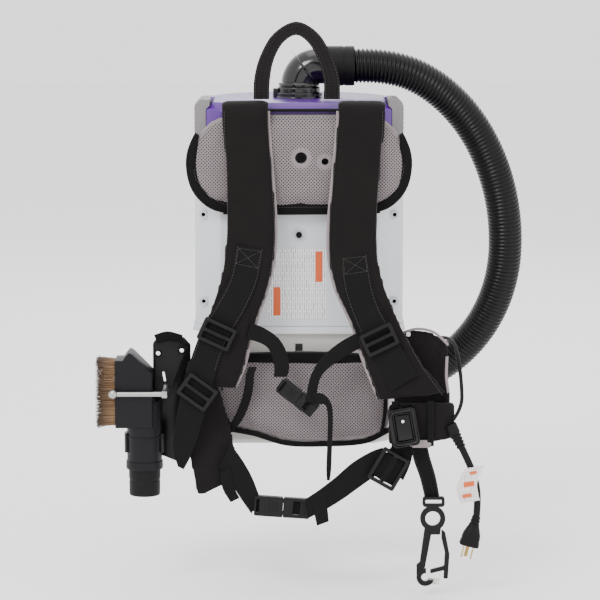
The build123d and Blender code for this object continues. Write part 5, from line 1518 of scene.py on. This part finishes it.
@dataclass
class Harness:
    """Both shoulder straps, the carry loop, the chest strap and the waist strap."""

    buckles: Sequence[tuple[str, str]] = (
        ("sternum_buckle_female", "pack"), ("sternum_buckle_male", "sternum_plug"),
        ("waist_buckle_female", "pack"), ("waist_buckle_male", "waist_plug"),
    )
    locks: Sequence[tuple[str, str, Point, float]] = (
        ("ladder_lock_upper_left", "lock_upper_left", (-110.0, -47.0, 105.0), -25.0),
        ("ladder_lock_lower_left", "lock_lower_left", (-136.0, -56.2, 28.0), -36.0),
        ("ladder_lock_right", "lock_right", (107.0, -56.0, 99.0), 26.0),
        ("waist_adjuster", "adjuster", (120.0, -60.5, -76.0), 60.0),
    )
    buckle_ribs: Sequence[tuple[str, str, Point, float, float, Sequence[float], float, float]] = (
        ("sternum_buckle_male", "sternum_plug", CHEST_BUCKLE, CHEST_TILT, 15.0, (19.0, 21.6, 24.2, 26.8), -46.4,
         0.7),
        ("sternum_buckle_female", "pack", CHEST_BUCKLE, CHEST_TILT, 12.0, (-14.0, -11.0, -8.0, -5.0), -46.4, 0.7),
        ("waist_buckle_male", "waist_plug", WAIST_BUCKLE, WAIST_TILT, 19.0, (25.0, 28.0, 31.0, 34.0), -64.9, 0.8),
        ("waist_buckle_female", "pack", WAIST_BUCKLE, WAIST_TILT, 14.0, (-17.0, -13.5, -10.0, -6.5), -64.9, 0.8),
    )
    # piece, body, slot's middle, tilt, width across, length along, and y at equal steps
    slot_webs: Sequence[tuple[str, str, Point, float, float, float, Sequence[float]]] = (
        ("chest_web_turn_left", "pack", (-22.2, 0, 33.8), CHEST_TILT, 14.6, 9.0, (-41.0, -42.6, -43.4, -43.0)),
        ("chest_web_turn_right", "sternum_plug", (10.5, 0, 8.5), CHEST_TILT, 14.6, 12.0,
         (-42.6, -42.0, -42.4, -44.0)),
        ("waist_web_turn_left", "pack", (-56.0, 0, -125.7), WAIST_TILT, 18.2, 12.0, (-57.0, -58.6, -60.6, -61.0)),
        ("waist_web_turn_right", "waist_plug", (-2.6, 0, -129.4), WAIST_TILT, 18.2, 13.0,
         (-60.0, -59.6, -60.2, -62.0)),
        ("waist_adjuster_web", "adjuster", (120.0, 0, -76.0), 150.0, 36.0, 40.0,
         (-57.8, -58.0, -58.8, -64.9, -58.8, -58.0, -57.8)),
    )

    def build(self) -> None:
        """Build the straps from the top down."""
        Shoulder(Side.LEFT, LEFT_OUTER, LEFT_INNER, LEFT_DEPTHS, LEFT_WEB).build()
        Shoulder(Side.RIGHT, RIGHT_OUTER, RIGHT_INNER, RIGHT_DEPTHS, RIGHT_WEB).build()
        loop = Ribbon("carry_loop_webbing", LOOP, 2.6, LOOP_WEB, "pack", "webbing", ["carry_loop"], crown=6.0)
        loop.make()
        for number, share in enumerate((-0.8, 0.8), 1):
            loop.seam(f"carry_loop_seam_{number}", share)
        self.fittings()
        self.chest()
        self.waist()
        self.slots()
        LOG.info("harness built")

    def fittings(self) -> None:
        """The ladder locks and the four buckle halves."""
        for node, body, centre, tilt in self.locks:
            lock = Fitting(node, body)
            lock.build()
            high = centre[1] - (3.3 if node == "waist_adjuster" else 2.8)
            lock.ribs(centre, tilt, 3.8, [-14 + 3.1 * i for i in range(10)], high, 0.6)
        for node, body in self.buckles:
            Fitting(node, body, 1.0).build()
        for node, body, centre, tilt, length, offsets, height, radius in self.buckle_ribs:
            Fitting(node, body).ribs(centre, tilt, length, offsets, height, radius)

    def chest(self) -> None:
        """The chest strap: a left anchor, and a right strap with its loose tail."""
        left = [((-64, -41, 119), (-70, -41, 98)), ((-46, -41, 112), (-50, -41, 91)),
                ((-27, -41, 98), (-40, -41, 83)),
                ((-16, -41, 78), (-35, -41, 70)), ((-13, -41, 58), (-33, -41, 56)),
                ((-16, -41, 46), (-34, -41, 46))]
        web("chest_strap_left", left, 2.2, ["sternum_strap_left"])
        right = [((78, -42.5, 106), (84, -42.5, 86)), ((56, -42, 94), (62, -42, 74)),
                 ((34, -43.5, 76), (42, -43.5, 60)),
                 ((18, -47, 54), (29, -47, 46)), ((11, -49, 30), (24, -49, 26)), ((10, -49, 14), (22, -49, 10))]
        tail = [((18, -52.5, 26), (24, -52.5, 10)), ((32, -52.5, 25), (33, -52.5, 11)),
                ((43, -52, 12), (37, -49, 6)),
                ((45, -51, -10), (39, -47, -12)), ((44, -51, -50), (38, -47, -50)),
                ((43, -50, -80), (37, -47, -80)), ((41, -50, -94), (38, -48, -94))]
        hanging = [((-67.5, -34, 58), (-56.5, -34, 58)), ((-71.5, -30, 46), (-60.5, -30, 46)),
                   ((-73, -21, 31), (-61.5, -21, 29)),
                   ((-78, -14, 9.5), (-66.5, -14, 6)), ((-87, -10, -13), (-77, -10, -19)),
                   ((-98, -8, -31), (-93, -8, -38))]
        web("chest_strap_left_tail", hanging)
        for name, edges in (("chest_strap_right", right), ("chest_strap_tail", tail)):
            piece = self.unridden(name, edges, 2.2, "sternum_strap_right")
            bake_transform(piece)

    def unridden(self, name: str, edges: Sequence[Edge], thickness: float, node: str) -> bpy.types.Object:
        """A strap between two bodies: built with its finish, and not attached to either body."""
        piece = Ribbon(name, edges, thickness, STRAP_WEB, "pack", "webbing", crown=6.0).build()
        piece.data.materials.append(STRAP_WEB.material())
        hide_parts(node)
        return piece

    def threaded(self, name: str, body: str, centre: Point, tilt: float, across: float, along: float,
                 depths: Sequence[float]) -> None:
        """Webbing that goes through a fitting's slot.

        Args:
            name: the piece's name.
            body: the body that it rides on.
            centre: the slot's middle, in millimetres.
            tilt: how far the fitting's length is turned from X, in degrees.
            across: the webbing's width in the slot.
            along: how far it is seen along the fitting's length.
            depths: y at equal steps along that way.
        """
        angle = math.radians(tilt)
        run, wide = np.array((math.cos(angle), 0, math.sin(angle))), np.array((-math.sin(angle), 0,
                                                                               math.cos(angle)))
        middle = np.array((centre[0], 0.0, centre[2]))
        edges = []
        for share, y in zip(np.linspace(-0.5, 0.5, len(depths)), depths):
            spot = middle + run * along * share + np.array((0.0, y, 0.0))
            edges.append((tuple(spot + wide * across / 2), tuple(spot - wide * across / 2)))
        web(name, edges, body=body, step=1.2)

    def slots(self) -> None:
        """The short turns of webbing seen in each buckle's slot and in the waist adjuster."""
        for row in self.slot_webs:
            self.threaded(*row)

    def waist(self) -> None:
        """The waist strap: a left anchor with its tuck, and a right strap through its adjuster."""
        left = [((-92, -38, -46), (-108, -38, -78)), ((-76, -43, -68), (-92, -43, -98)),
                ((-63, -50, -90), (-80, -50, -116)), ((-54, -57, -112), (-64, -57, -138))]
        tuck = [((-106, -42, -84), (-92, -42, -78)), ((-103, -46, -106), (-87, -46, -104)),
                ((-92, -50, -124), (-80, -50, -118))]
        web("waist_strap_left_web", left, 2.4, ["waist_strap_left"])
        web("waist_strap_left_tuck", tuck, 2.4)
        loop = [((18, -65, -112), (34, -65, -106)), ((20, -69.5, -132), (38, -68.5, -126)),
                ((24, -68, -152), (40, -67, -146))]
        web("waist_strap_right_loop", loop, body="waist_plug")
        right = [((8, -68, -116), (12, -68, -142)), ((26, -67, -104), (36, -67, -130)),
                 ((48, -62, -88), (60, -62, -116)),
                 ((72, -57, -68), (86, -57, -98)), ((96, -54.5, -54), (110, -54.5, -82)),
                 ((112, -54.5, -48), (128, -54.5, -78))]
        back = [((112, -51, -66), (140, -51, -94)), ((122, -50.5, -50), (148, -50.5, -76)),
                ((128, -50, -44), (152, -50, -62)), ((132, -49, -46.5), (154, -49, -47.5))]
        for name, edges in (("waist_strap_right_web", right), ("waist_strap_right_back", back)):
            piece = self.unridden(name, edges, 2.4, "waist_strap_right")
            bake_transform(piece)


# ==== hip belt, switch, cord and hook =========================================================
@dataclass
class HipBelt:
    """The two hip wings and the pouch that carries the switch."""

    def build(self) -> None:
        """Swell the wings and pouch, then add their piping, mesh and bands."""
        wing = [((127.5, 12, 60), (127.5, 12, -40)), ((140, 8, 98), (142, 8, -40)), ((160, 0, 105), (165, -4, -36)),
                ((182, -12, 102), (186, -16, -36)), ((200, -24, 88), (205, -34, -32))]
        right = Ribbon("hip_wing_right", wing, 6.8, POUCH_CLOTH, "pack", "nylon", ["belt_right"], square=10.0,
                       crown=2.4)
        self.swollen(right)
        pouch = [((207, -32, 10), (207, -34, -36)), ((196, -44, 12), (196, -44, -40)),
                 ((160, -46, 12), (160, -46, -43)), ((120, -46, 10), (120, -46, -45))]
        front = Ribbon("switch_pouch", pouch, 10.4, POUCH_CLOTH, "pack", "nylon")
        self.swollen(front)
        left = [((-152, -6, 62), (-121, 6, 60)), ((-157, -14, 20), (-104, -8, 20)),
                ((-159, -22, -20), (-92, -16, -20)),
                ((-152, -28, -60), (-84, -24, -60)), ((-144, -32, -92), (-84, -30, -92)),
                ((-138, -34, -117), (-128, -34, -117))]
        side = Ribbon("hip_wing_left", left, 6.8, POUCH_CLOTH, "pack", "nylon", ["belt_left"], square=8.0,
                      crown=2.4)
        self.swollen(side)
        self.trims()
        LOG.info("hip belt built")

    def swollen(self, soft: Ribbon) -> bpy.types.Object:
        """Swell a wing or the pouch, and dress it."""
        piece = soft.build()
        inflate(piece, 3.4, 3.0, 2.0)
        return dress(piece, soft.finish, soft.body, soft.replaced)

    def trims(self) -> None:
        """Piping, eyelets and webbing bands on the right wing and pouch."""
        top = [((140, 5, 100.5), (140, 5, 97)), ((160, -4, 107), (160, -4, 103.5)),
               ((182, -16, 104), (182, -16, 100.5)), ((200, -28.5, 90), (200, -28.5, 86))]
        Ribbon("wing_piping_right", top, 3.0, MESH_EDGE, "pack", "mesh_pad", crown=2.2, around=16).make()
        slant = [((197, -33, 72), (200.5, -34, 72.5)), ((196, -40, 45), (199.5, -41, 46)),
                 ((199, -44, 24), (202, -45, 26))]
        Ribbon("pouch_piping_right", slant, 2.6, MESH_EDGE, "pack", "mesh_pad", crown=2.2, around=16).make()
        eyelet = [(3.2, -0.8), (3.2, 0.5), (2.6, 1.0), (1.4, 0.9), (1.1, 0.1), (0.01, 0.0)]
        for number, (spot, finish) in enumerate((((148.0, 1.0, 97.0), DOT_WHITE),
                                                 ((191.0, -22.5, 75.0), SCREW_BLACK)), 1):
            eye = turned(f"wing_eyelet_{number}", spot, (0.35, -1, 0), eyelet, 28)
            dress(eye, finish, "pack")
        for number, x in enumerate((124.0, 172.0), 1):
            band = [((x, -54.2, 15), (x + 9, -54.2, 15)), ((x, -55.2, -14), (x + 9, -55.2, -14)),
                    ((x, -54.2, -46), (x + 9, -54.2, -46))]
            web(f"pouch_band_{number}", band, 1.8)
        tab = [((150, -53.5, -38), (178, -53.5, -38)), ((150, -54.5, -43), (178, -54.5, -43)),
               ((152, -53.5, -48), (176, -53.5, -48))]
        Ribbon("pouch_tab", tab, 2.2, MESH_EDGE, "pack", "nylon", crown=4.0).make()


@dataclass
class SwitchAndCord:
    """The switch, its lead, the power cord with its tag and plug, and the cord hook."""

    centre: Point = (140.0, -62.0, -18.0)
    tilt: float = 10.0
    width: float = 37.0
    height: float = 52.0
    lead: Sequence[Point] = ((137.5, 112, 58), (170, 104, 70), (197, 74, 82), (211, 32, 84), (216, -8, 64),
                             (219, -30, 32), (219, -42, 4), (207, -45, -12))
    cord: Sequence[Point] = ((218, -50, -48), (229, -51, -70), (237.5, -52, -94), (241, -52, -119),
                             (239, -52, -143))

    def build(self) -> None:
        """Build the switch first, and then everything on the cord."""
        self.switch()
        self.leads()
        self.plug()
        self.hook()
        LOG.info("switch and cord built")

    def switch(self) -> None:
        """The housing, a raised glossy bezel, the rocker and its white dot."""
        for node, name, width, least, body in (("switch_box", "switch_housing", 1.6, 3, "pack"),
                                               ("switch_rocker", "switch_rocker_cap", 1.2, 4, "rocker")):
            moulded(node, name, width, longer(least), SWITCH_BLACK, body, "switch_black", segments=3)
        turn = Matrix.Translation(Vector(self.centre) * MM) @ Matrix.Rotation(-math.radians(self.tilt), 4, "Y")
        half_x, half_z = self.width / 2 - 1.5, self.height / 2 - 1.5
        ring = rectangle((-half_x, -half_z), (half_x, half_z), 8.0, 8)
        inner = rectangle((-12.2, -19.6), (12.2, 19.6), 4.0, 8)
        middle = [(0.5 * (a + c), 0.5 * (b + d)) for (a, b), (c, d) in zip(ring, inner)]
        rings = []
        for shape, y in ((ring, -8.6), (ring, -9.8), (middle, -11.6), (inner, -10.0), (inner, -8.6)):
            rings.append([tuple(turn @ (Vector((x, y, z)) * MM)) for x, z in shape])
        bezel = loft("switch_bezel", np.array(rings).transpose(1, 0, 2), closed=True)
        smooth(bezel, 60.0)
        dress(bezel, SWITCH_BLACK, "pack")
        spot = tuple((turn @ (Vector((0.0, -10.1, 9.0)) * MM)) / MM)
        dot = turned("rocker_dot", spot, (0, -1, 0.12), [(2.0, -1.0), (2.0, 0.25), (1.6, 0.4), (0.01, 0.42)], 24)
        dress(dot, DOT_WHITE, "rocker")

    def leads(self) -> None:
        """The control lead to the motor and the power cord below the strain relief."""
        lead = cord_curve("control_lead_jacket", self.lead, 2.5)
        dress(lead, CUFF_BLACK, "pack", ["control_lead"])
        line = route_line("lead_line", self.lead)
        grommet = turned("lead_grommet", self.lead[0], (1, 0, 0),
                         [(2.4, -1.0), (5.6, -0.8), (6.2, 0.4), (5.4, 1.8), (3.6, 3.4), (3.2, 6.0), (2.5, 6.2)], 32)
        dress(grommet, CUFF_BLACK, "pack")
        relief = turned("strain_relief_ribbed", self.cord[0], (-0.44, 0.04, 0.88),
                        [(4.8, -1.0), (6.2, 0.0), (6.2, 2.4), (5.3, 3.0), (5.3, 4.4), (6.6, 5.0), (6.6, 7.4),
                         (5.7, 8.0), (5.7, 9.4), (7.0, 10.0), (7.0, 12.4),
                         (6.1, 13.0), (6.1, 14.4), (7.5, 15.0), (7.5, 17.4), (6.6, 18.0), (6.6, 19.4), (8.0, 20.0),
                         (8.4, 33.0), (7.6, 34.0)], 32)
        dress(relief, CUFF_BLACK, "pack", ["strain_relief"])
        cord = cord_curve("power_cord_jacket", self.cord, 4.7)
        dress(cord, CUFF_BLACK, "pack", ["power_cord"])
        self.tag()
        body = self.plug_body()
        line = route_line("cord_line", self.cord)

    def tag(self) -> None:
        """The paper tag looped on the cord: a bent sheet with plain bars."""
        raw = np.array([[222, -59.0, -76], [216, -60.5, -88], [212, -61.0, -100], [213, -60.0, -112],
                        [216, -58.5, -124]], float)
        edges = [((x, y, z), (x + 27, y - 0.5, z + 5)) for x, y, z in raw]
        sheet = Ribbon("cord_tag", edges, 0.7, TAG_WHITE, "pack", "cord_jacket", crown=6.0, square=20.0)
        sheet.make()
        for number, (x, z, wide, high) in enumerate(((221, -101, 14, 7), (219.5, -116, 12, 5), (229, -84, 9, 4)),
                                                    1):
            shape = rounded([(x, z), (x + wide, z + 2), (x + wide, z + high + 2), (x, z + high)], 1.0)
            block = cut_sheet(f"tag_block_{number}", shape, -62.2, -61.6, 0.1)
            dress(block, BAR_ORANGE, "pack")

    def plug_body(self) -> bpy.types.Object:
        """The moulded plug: grooved neck rings and a flared grip."""
        start = Vector(self.cord[-1])
        along = (Vector(self.cord[-1]) - Vector(self.cord[-2])).normalized() + Vector((-0.17, 0, 0))
        along.normalize()
        side = Vector((1, 0, -0.25))
        side = (side - along * side.dot(along)).normalized()
        depth = along.cross(side)
        t = turns(40)
        steps = [(0, 5.6, 5.6, 2.0), (2.6, 6.1, 6.1, 2.0), (3.0, 5.3, 5.3, 2.0), (4.4, 5.3, 5.3, 2.0),
                 (4.8, 6.3, 6.3, 2.0), (7.4, 6.6, 6.6, 2.0), (7.8, 5.6, 5.6, 2.0),
                 (9.2, 5.7, 5.7, 2.0), (9.6, 6.8, 6.8, 2.0), (12.6, 7.2, 7.0, 2.2), (18, 9.4, 8.4, 2.6),
                 (24, 11.6, 9.6, 3.2), (30, 12.6, 10.2, 3.6), (33, 12.2, 9.9, 3.8),
                 (35, 12.9, 10.6, 4.0), (40, 13.4, 10.9, 4.2), (41, 12.6, 10.2, 4.2)]
        rings = []
        for high, wide, deep, square in steps:
            a, b = squared(np.cos(t), square) * wide, squared(np.sin(t), square) * deep
            rings.append([tuple((start + along * high + side * p + depth * q) * MM) for p, q in zip(a, b)])
        plug = loft("plug_grip", np.array(rings))
        smooth(plug, 45.0)
        return dress(plug, CUFF_BLACK, "pack", ["plug_body"])

    def plug(self) -> None:
        """The plug's blades keep their CAD shape and take a brass finish."""
        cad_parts["plug_blades"].data.materials.clear()
        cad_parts["plug_blades"].data.materials.append(BRASS.material())

    def hook(self) -> None:
        """The moulded cord hook, its gate and the webbing that carries it."""
        moulded("cord_hook", "cord_hook_moulded", 1.2, None, BUCKLE_BLACK, "hook", "black_moulding",
                shortest=0.2, clamp=True)
        moulded("hook_gate", "hook_gate_moulded", 1.2, longer(3), BUCKLE_BLACK, "gate", "black_moulding")
        strap = [((150, -46, -44), (172, -46, -43)), ((154, -47, -66), (176, -47, -62)),
                 ((163, -48, -92), (184, -48, -89)), ((170, -48, -121), (190, -48, -120))]
        carrier = web("hook_webbing", strap, 2.2, ["cord_hook_strap"])
        for number, share in enumerate((-0.84, 0.84), 1):
            carrier.seam(f"hook_webbing_seam_{number}", share)
        card = cut_sheet("hook_tag", rounded([(173, -237), (190, -238), (191, -229), (174, -228)], 1.5), -49.8,
                         -49.2, 0.1)
        dress(card, TAG_WHITE, "hook")


def cord_curve(name: str, points: Sequence[Point], radius: float) -> bpy.types.Object:
    """A round cord as one smooth bevelled curve.

    Args:
        name: the piece's name.
        points: its control points, in millimetres.
        radius: its radius, in millimetres.

    Returns:
        The curve object.
    """
    curve = nurbs(name, points, 24)
    curve.bevel_depth = radius * MM
    curve.bevel_resolution = 6
    curve.use_fill_caps = True
    return placed(name, curve)


# ==== dust brush ==============================================================================
@dataclass
class DustBrush:
    """The dust brush in its holder: housing, bristles, reducer tube, panel and peg."""

    mouth: float = -247.0
    centre: tuple[float, float] = (-20.0, 22.0)
    wide: float = 44.0
    tall: float = 88.0
    rows: int = 4
    length: float = 27.0
    seed: int = 7
    peg_x: float = -180.0
    row_step: float = 2.1
    hair_step: float = 0.75
    # share of a hair's length (or depth below its root), share of its lean, and radius
    taper: Sequence[Point] = ((-3.0, 0.0, 0.42), (0.55, 0.45, 0.36), (1.0, 1.0, 0.12))
    neck: tuple[float, float] = (-209.0, -20.0)

    def build(self) -> None:
        """Round the moulded pieces and grow the bristles."""
        moulded("dust_brush", "dust_brush_housing", 1.4, longer(4), BRUSH_BLACK, "brush", "black_moulding",
                segments=3)
        x, y = self.neck
        collar = turned("brush_neck_rings", (x, y, 0.0), (0, 0, 1),
                        [(23.4, -82.9), (24.6, -82.6), (25.2, -80.0), (24.8, -72.0), (23.6, -71.4), (23.5, -40),
                         (24.3, -39.6), (24.3, -37.6), (23.5, -37.2)], 64)
        dress(collar, BRUSH_BLACK, "brush")
        tube = turned("reducer_tube", (x, y, 0.0), (0, 0, 1),
                      [(21.4, -56.0), (21.5, -82.0), (21.3, -96.0), (20.6, -97.0), (20.6, -99.0), (21.0, -100.0),
                       (20.8, -117.5), (20.2, -119.0), (16.7, -119.0), (16.2, -118.0), (16.2, -56.0),
                       (21.4, -56.0)], 64)
        dress(tube, CUFF_BLACK, "brush", ["tool_sleeve"])
        self.bristles()
        self.holder()
        LOG.info("brush built")

    def bristles(self) -> None:
        """Rows of short tapering hairs round the mouth, splayed a little outwards."""
        rng = np.random.default_rng(self.seed)
        x, z = self.wide / 2, self.tall / 2
        rim = np.array(rectangle((-x, -z), (x, z), 12.0, 7))
        closed = np.vstack([rim, rim[:1]])
        run = run_along(closed)
        points, faces = [], []
        for row in range(self.rows):
            inset = 1.2 + row * self.row_step
            for s in np.arange(0, run[-1], self.hair_step):
                spot = np.array([np.interp(s, run, closed[:, 0]), np.interp(s, run, closed[:, 1])])
                root = spot * (1 - inset / (np.linalg.norm(spot) + 1e-6)) + rng.normal(0, 0.45, 2)
                lean = root / 26.0 * rng.uniform(0.7, 2.6) + rng.normal(0, 1.3, 2)
                reach = self.length * rng.uniform(0.86, 1.0)
                base = len(points)
                for high, share, radius in self.taper:
                    depth = high if high < 0 else reach * high
                    at = np.array(self.centre) + root + lean * share**1.5
                    for k in range(4):
                        angle = k * math.pi / 2 + s
                        y, up = at + radius * np.array((math.cos(angle), math.sin(angle)))
                        points.append((self.mouth - depth, y, up))
                for level in (0, 4):
                    for k in range(4):
                        a, b = base + level + k, base + level + (k + 1) % 4
                        faces.append((a, b, b + 4, a + 4))
                faces.append((base + 8, base + 9, base + 10, base + 11))
        tufts = mesh_piece("brush_hair", np.array(points) * MM, faces)
        outward(tufts)
        smooth(tufts, 60.0)
        dress(tufts, BRISTLE, "brush", ["brush_bristles"])

    def at_bend(self, spot: Vector, length: float) -> bool:
        """True near the peg's bend, where its edges are rounded."""
        return abs(spot.x - self.peg_x) < 6

    def holder(self) -> None:
        """The holder panel with its clip, the webbing end on it and the retaining peg."""
        moulded("tool_holder", "tool_holder_panel", 1.2, longer(3), BUCKLE_BLACK, "pack", "black_moulding")
        moulded("retaining_peg", "retaining_peg_steel", 0.5, self.at_bend, STEEL, "pack", "peg_steel")
        end = [((-196, 2.6, 96), (-192, 2.6, 84)), ((-178, 2.0, 101), (-175, 2.0, 88)),
               ((-158, 2.6, 96), (-156, 2.6, 84))]
        web("holder_webbing_end", end)
        for number, (x, z) in enumerate(((-191.0, 70.0), (-159.0, 74.0)), 1):
            ring = turned(f"holder_eyelet_{number}", (x, 4.6, z), (0, -1, 0),
                          [(3.1, 0.0), (3.6, 0.9), (4.6, 1.0), (5.2, 0.4), (5.3, -0.4)], 28)
            dress(ring, SCREW_BLACK, "pack")


# ==== inner pieces and studio =================================================================
INNER_FINISHES: dict[str, Finish] = {
    "exhaust_filter": FILTER_PAPER, "motor_can": CAST, "motor_field": CAST, "rotor": CAST, "motor_bearings": STEEL,
                                     "motor_gasket": SEAL,
    "dome_filter": FILTER_PAPER, "cloth_filter": FILTER_CLOTH, "filter_bag": FILTER_PAPER, "lid_gasket": SEAL,
                                     "latch_pins": STEEL,
    "case_screws": SCREW_BLACK, "back_plates": BUCKLE_BLACK, "plug_blades": BRASS,
}


def dress_inner_pieces() -> None:
    """Give each CAD node that is still shown its own finish."""
    for name, finish in INNER_FINISHES.items():
        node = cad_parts[name]
        node.data.materials.clear()
        node.data.materials.append(finish.material())


@dataclass
class Studio:
    """The pale floor, the soft lights and the camera."""

    target: Point = (0.00135, 0.0, 0.144)
    distance: float = 4.0
    elevation: float = 8.5
    lens: float = 177.78
    floor: float = -0.252
    sky: float = 1.75
    # name, place, size and power
    lamps: Sequence[tuple[str, Point, float, float]] = (
        ("key_light", (-1.3, -2.2, 2.3), 1.0, 62.0),
        ("fill_light", (2.2, -2.0, 0.9), 1.4, 14.0),
        ("top_light", (0.0, 0.3, 2.6), 1.6, 16.0),
        ("back_light", (0.3, 2.6, 1.8), 2.0, 24.0),
    )

    def build(self) -> None:
        """Lay the floor, hang the lights and set the camera."""
        ground = primitive("plane", size=14.0, location=(0, 2.0, self.floor))
        ground.name = "studio_floor"
        settle(ground)
        ground.data.materials.append(FLOOR.material())
        world = bpy.data.worlds.new("studio")
        bpy.context.scene.world = world
        world.use_nodes = True
        world.node_tree.nodes.clear()
        sky = add_node(world.node_tree, "ShaderNodeBackground",
                       {"Color": (1.0, 1.0, 1.0, 1.0), "Strength": self.sky})
        add_node(world.node_tree, "ShaderNodeOutputWorld", {"Surface": sky.outputs[0]})
        for row in self.lamps:
            self.lamp(*row)
        self.camera()

    def lamp(self, name: str, place: Point, size: float, power: float) -> None:
        """One soft square light that faces the object."""
        light = bpy.data.lights.new(name, "AREA")
        light.size = size
        light.energy = power
        lamp = placed(name, light)
        lamp.location = place
        lamp.rotation_euler = self.aim(Vector(place))

    def aim(self, place: Vector) -> Euler:
        """The turn that points a lamp or camera from its place to the target."""
        return (Vector(self.target) - place).to_track_quat("-Z", "Y").to_euler()

    def camera(self) -> None:
        """A long lens straight in front of the harness, a little above its middle."""
        data = bpy.data.cameras.new("front_camera")
        data.lens = self.lens
        data.sensor_width = 36.0
        data.clip_end = 50.0
        eye = placed("front_camera", data)
        angle = math.radians(self.elevation)
        place = Vector(self.target) + Vector((0, -math.cos(angle), math.sin(angle))) * self.distance
        eye.location = place
        eye.rotation_euler = self.aim(place)
        bpy.context.scene.camera = eye


def main() -> None:
    """Build each sub-assembly in order."""
    logging.basicConfig(level=logging.INFO, format="%(name)s: %(message)s")
    Shells().build()
    Lid().build()
    Hose().build()
    Padding().build()
    Harness().build()
    HipBelt().build()
    SwitchAndCord().build()
    DustBrush().build()
    dress_inner_pieces()
    Studio().build()
    bpy.context.view_layer.update()


if __name__ == "__main__":
    main()
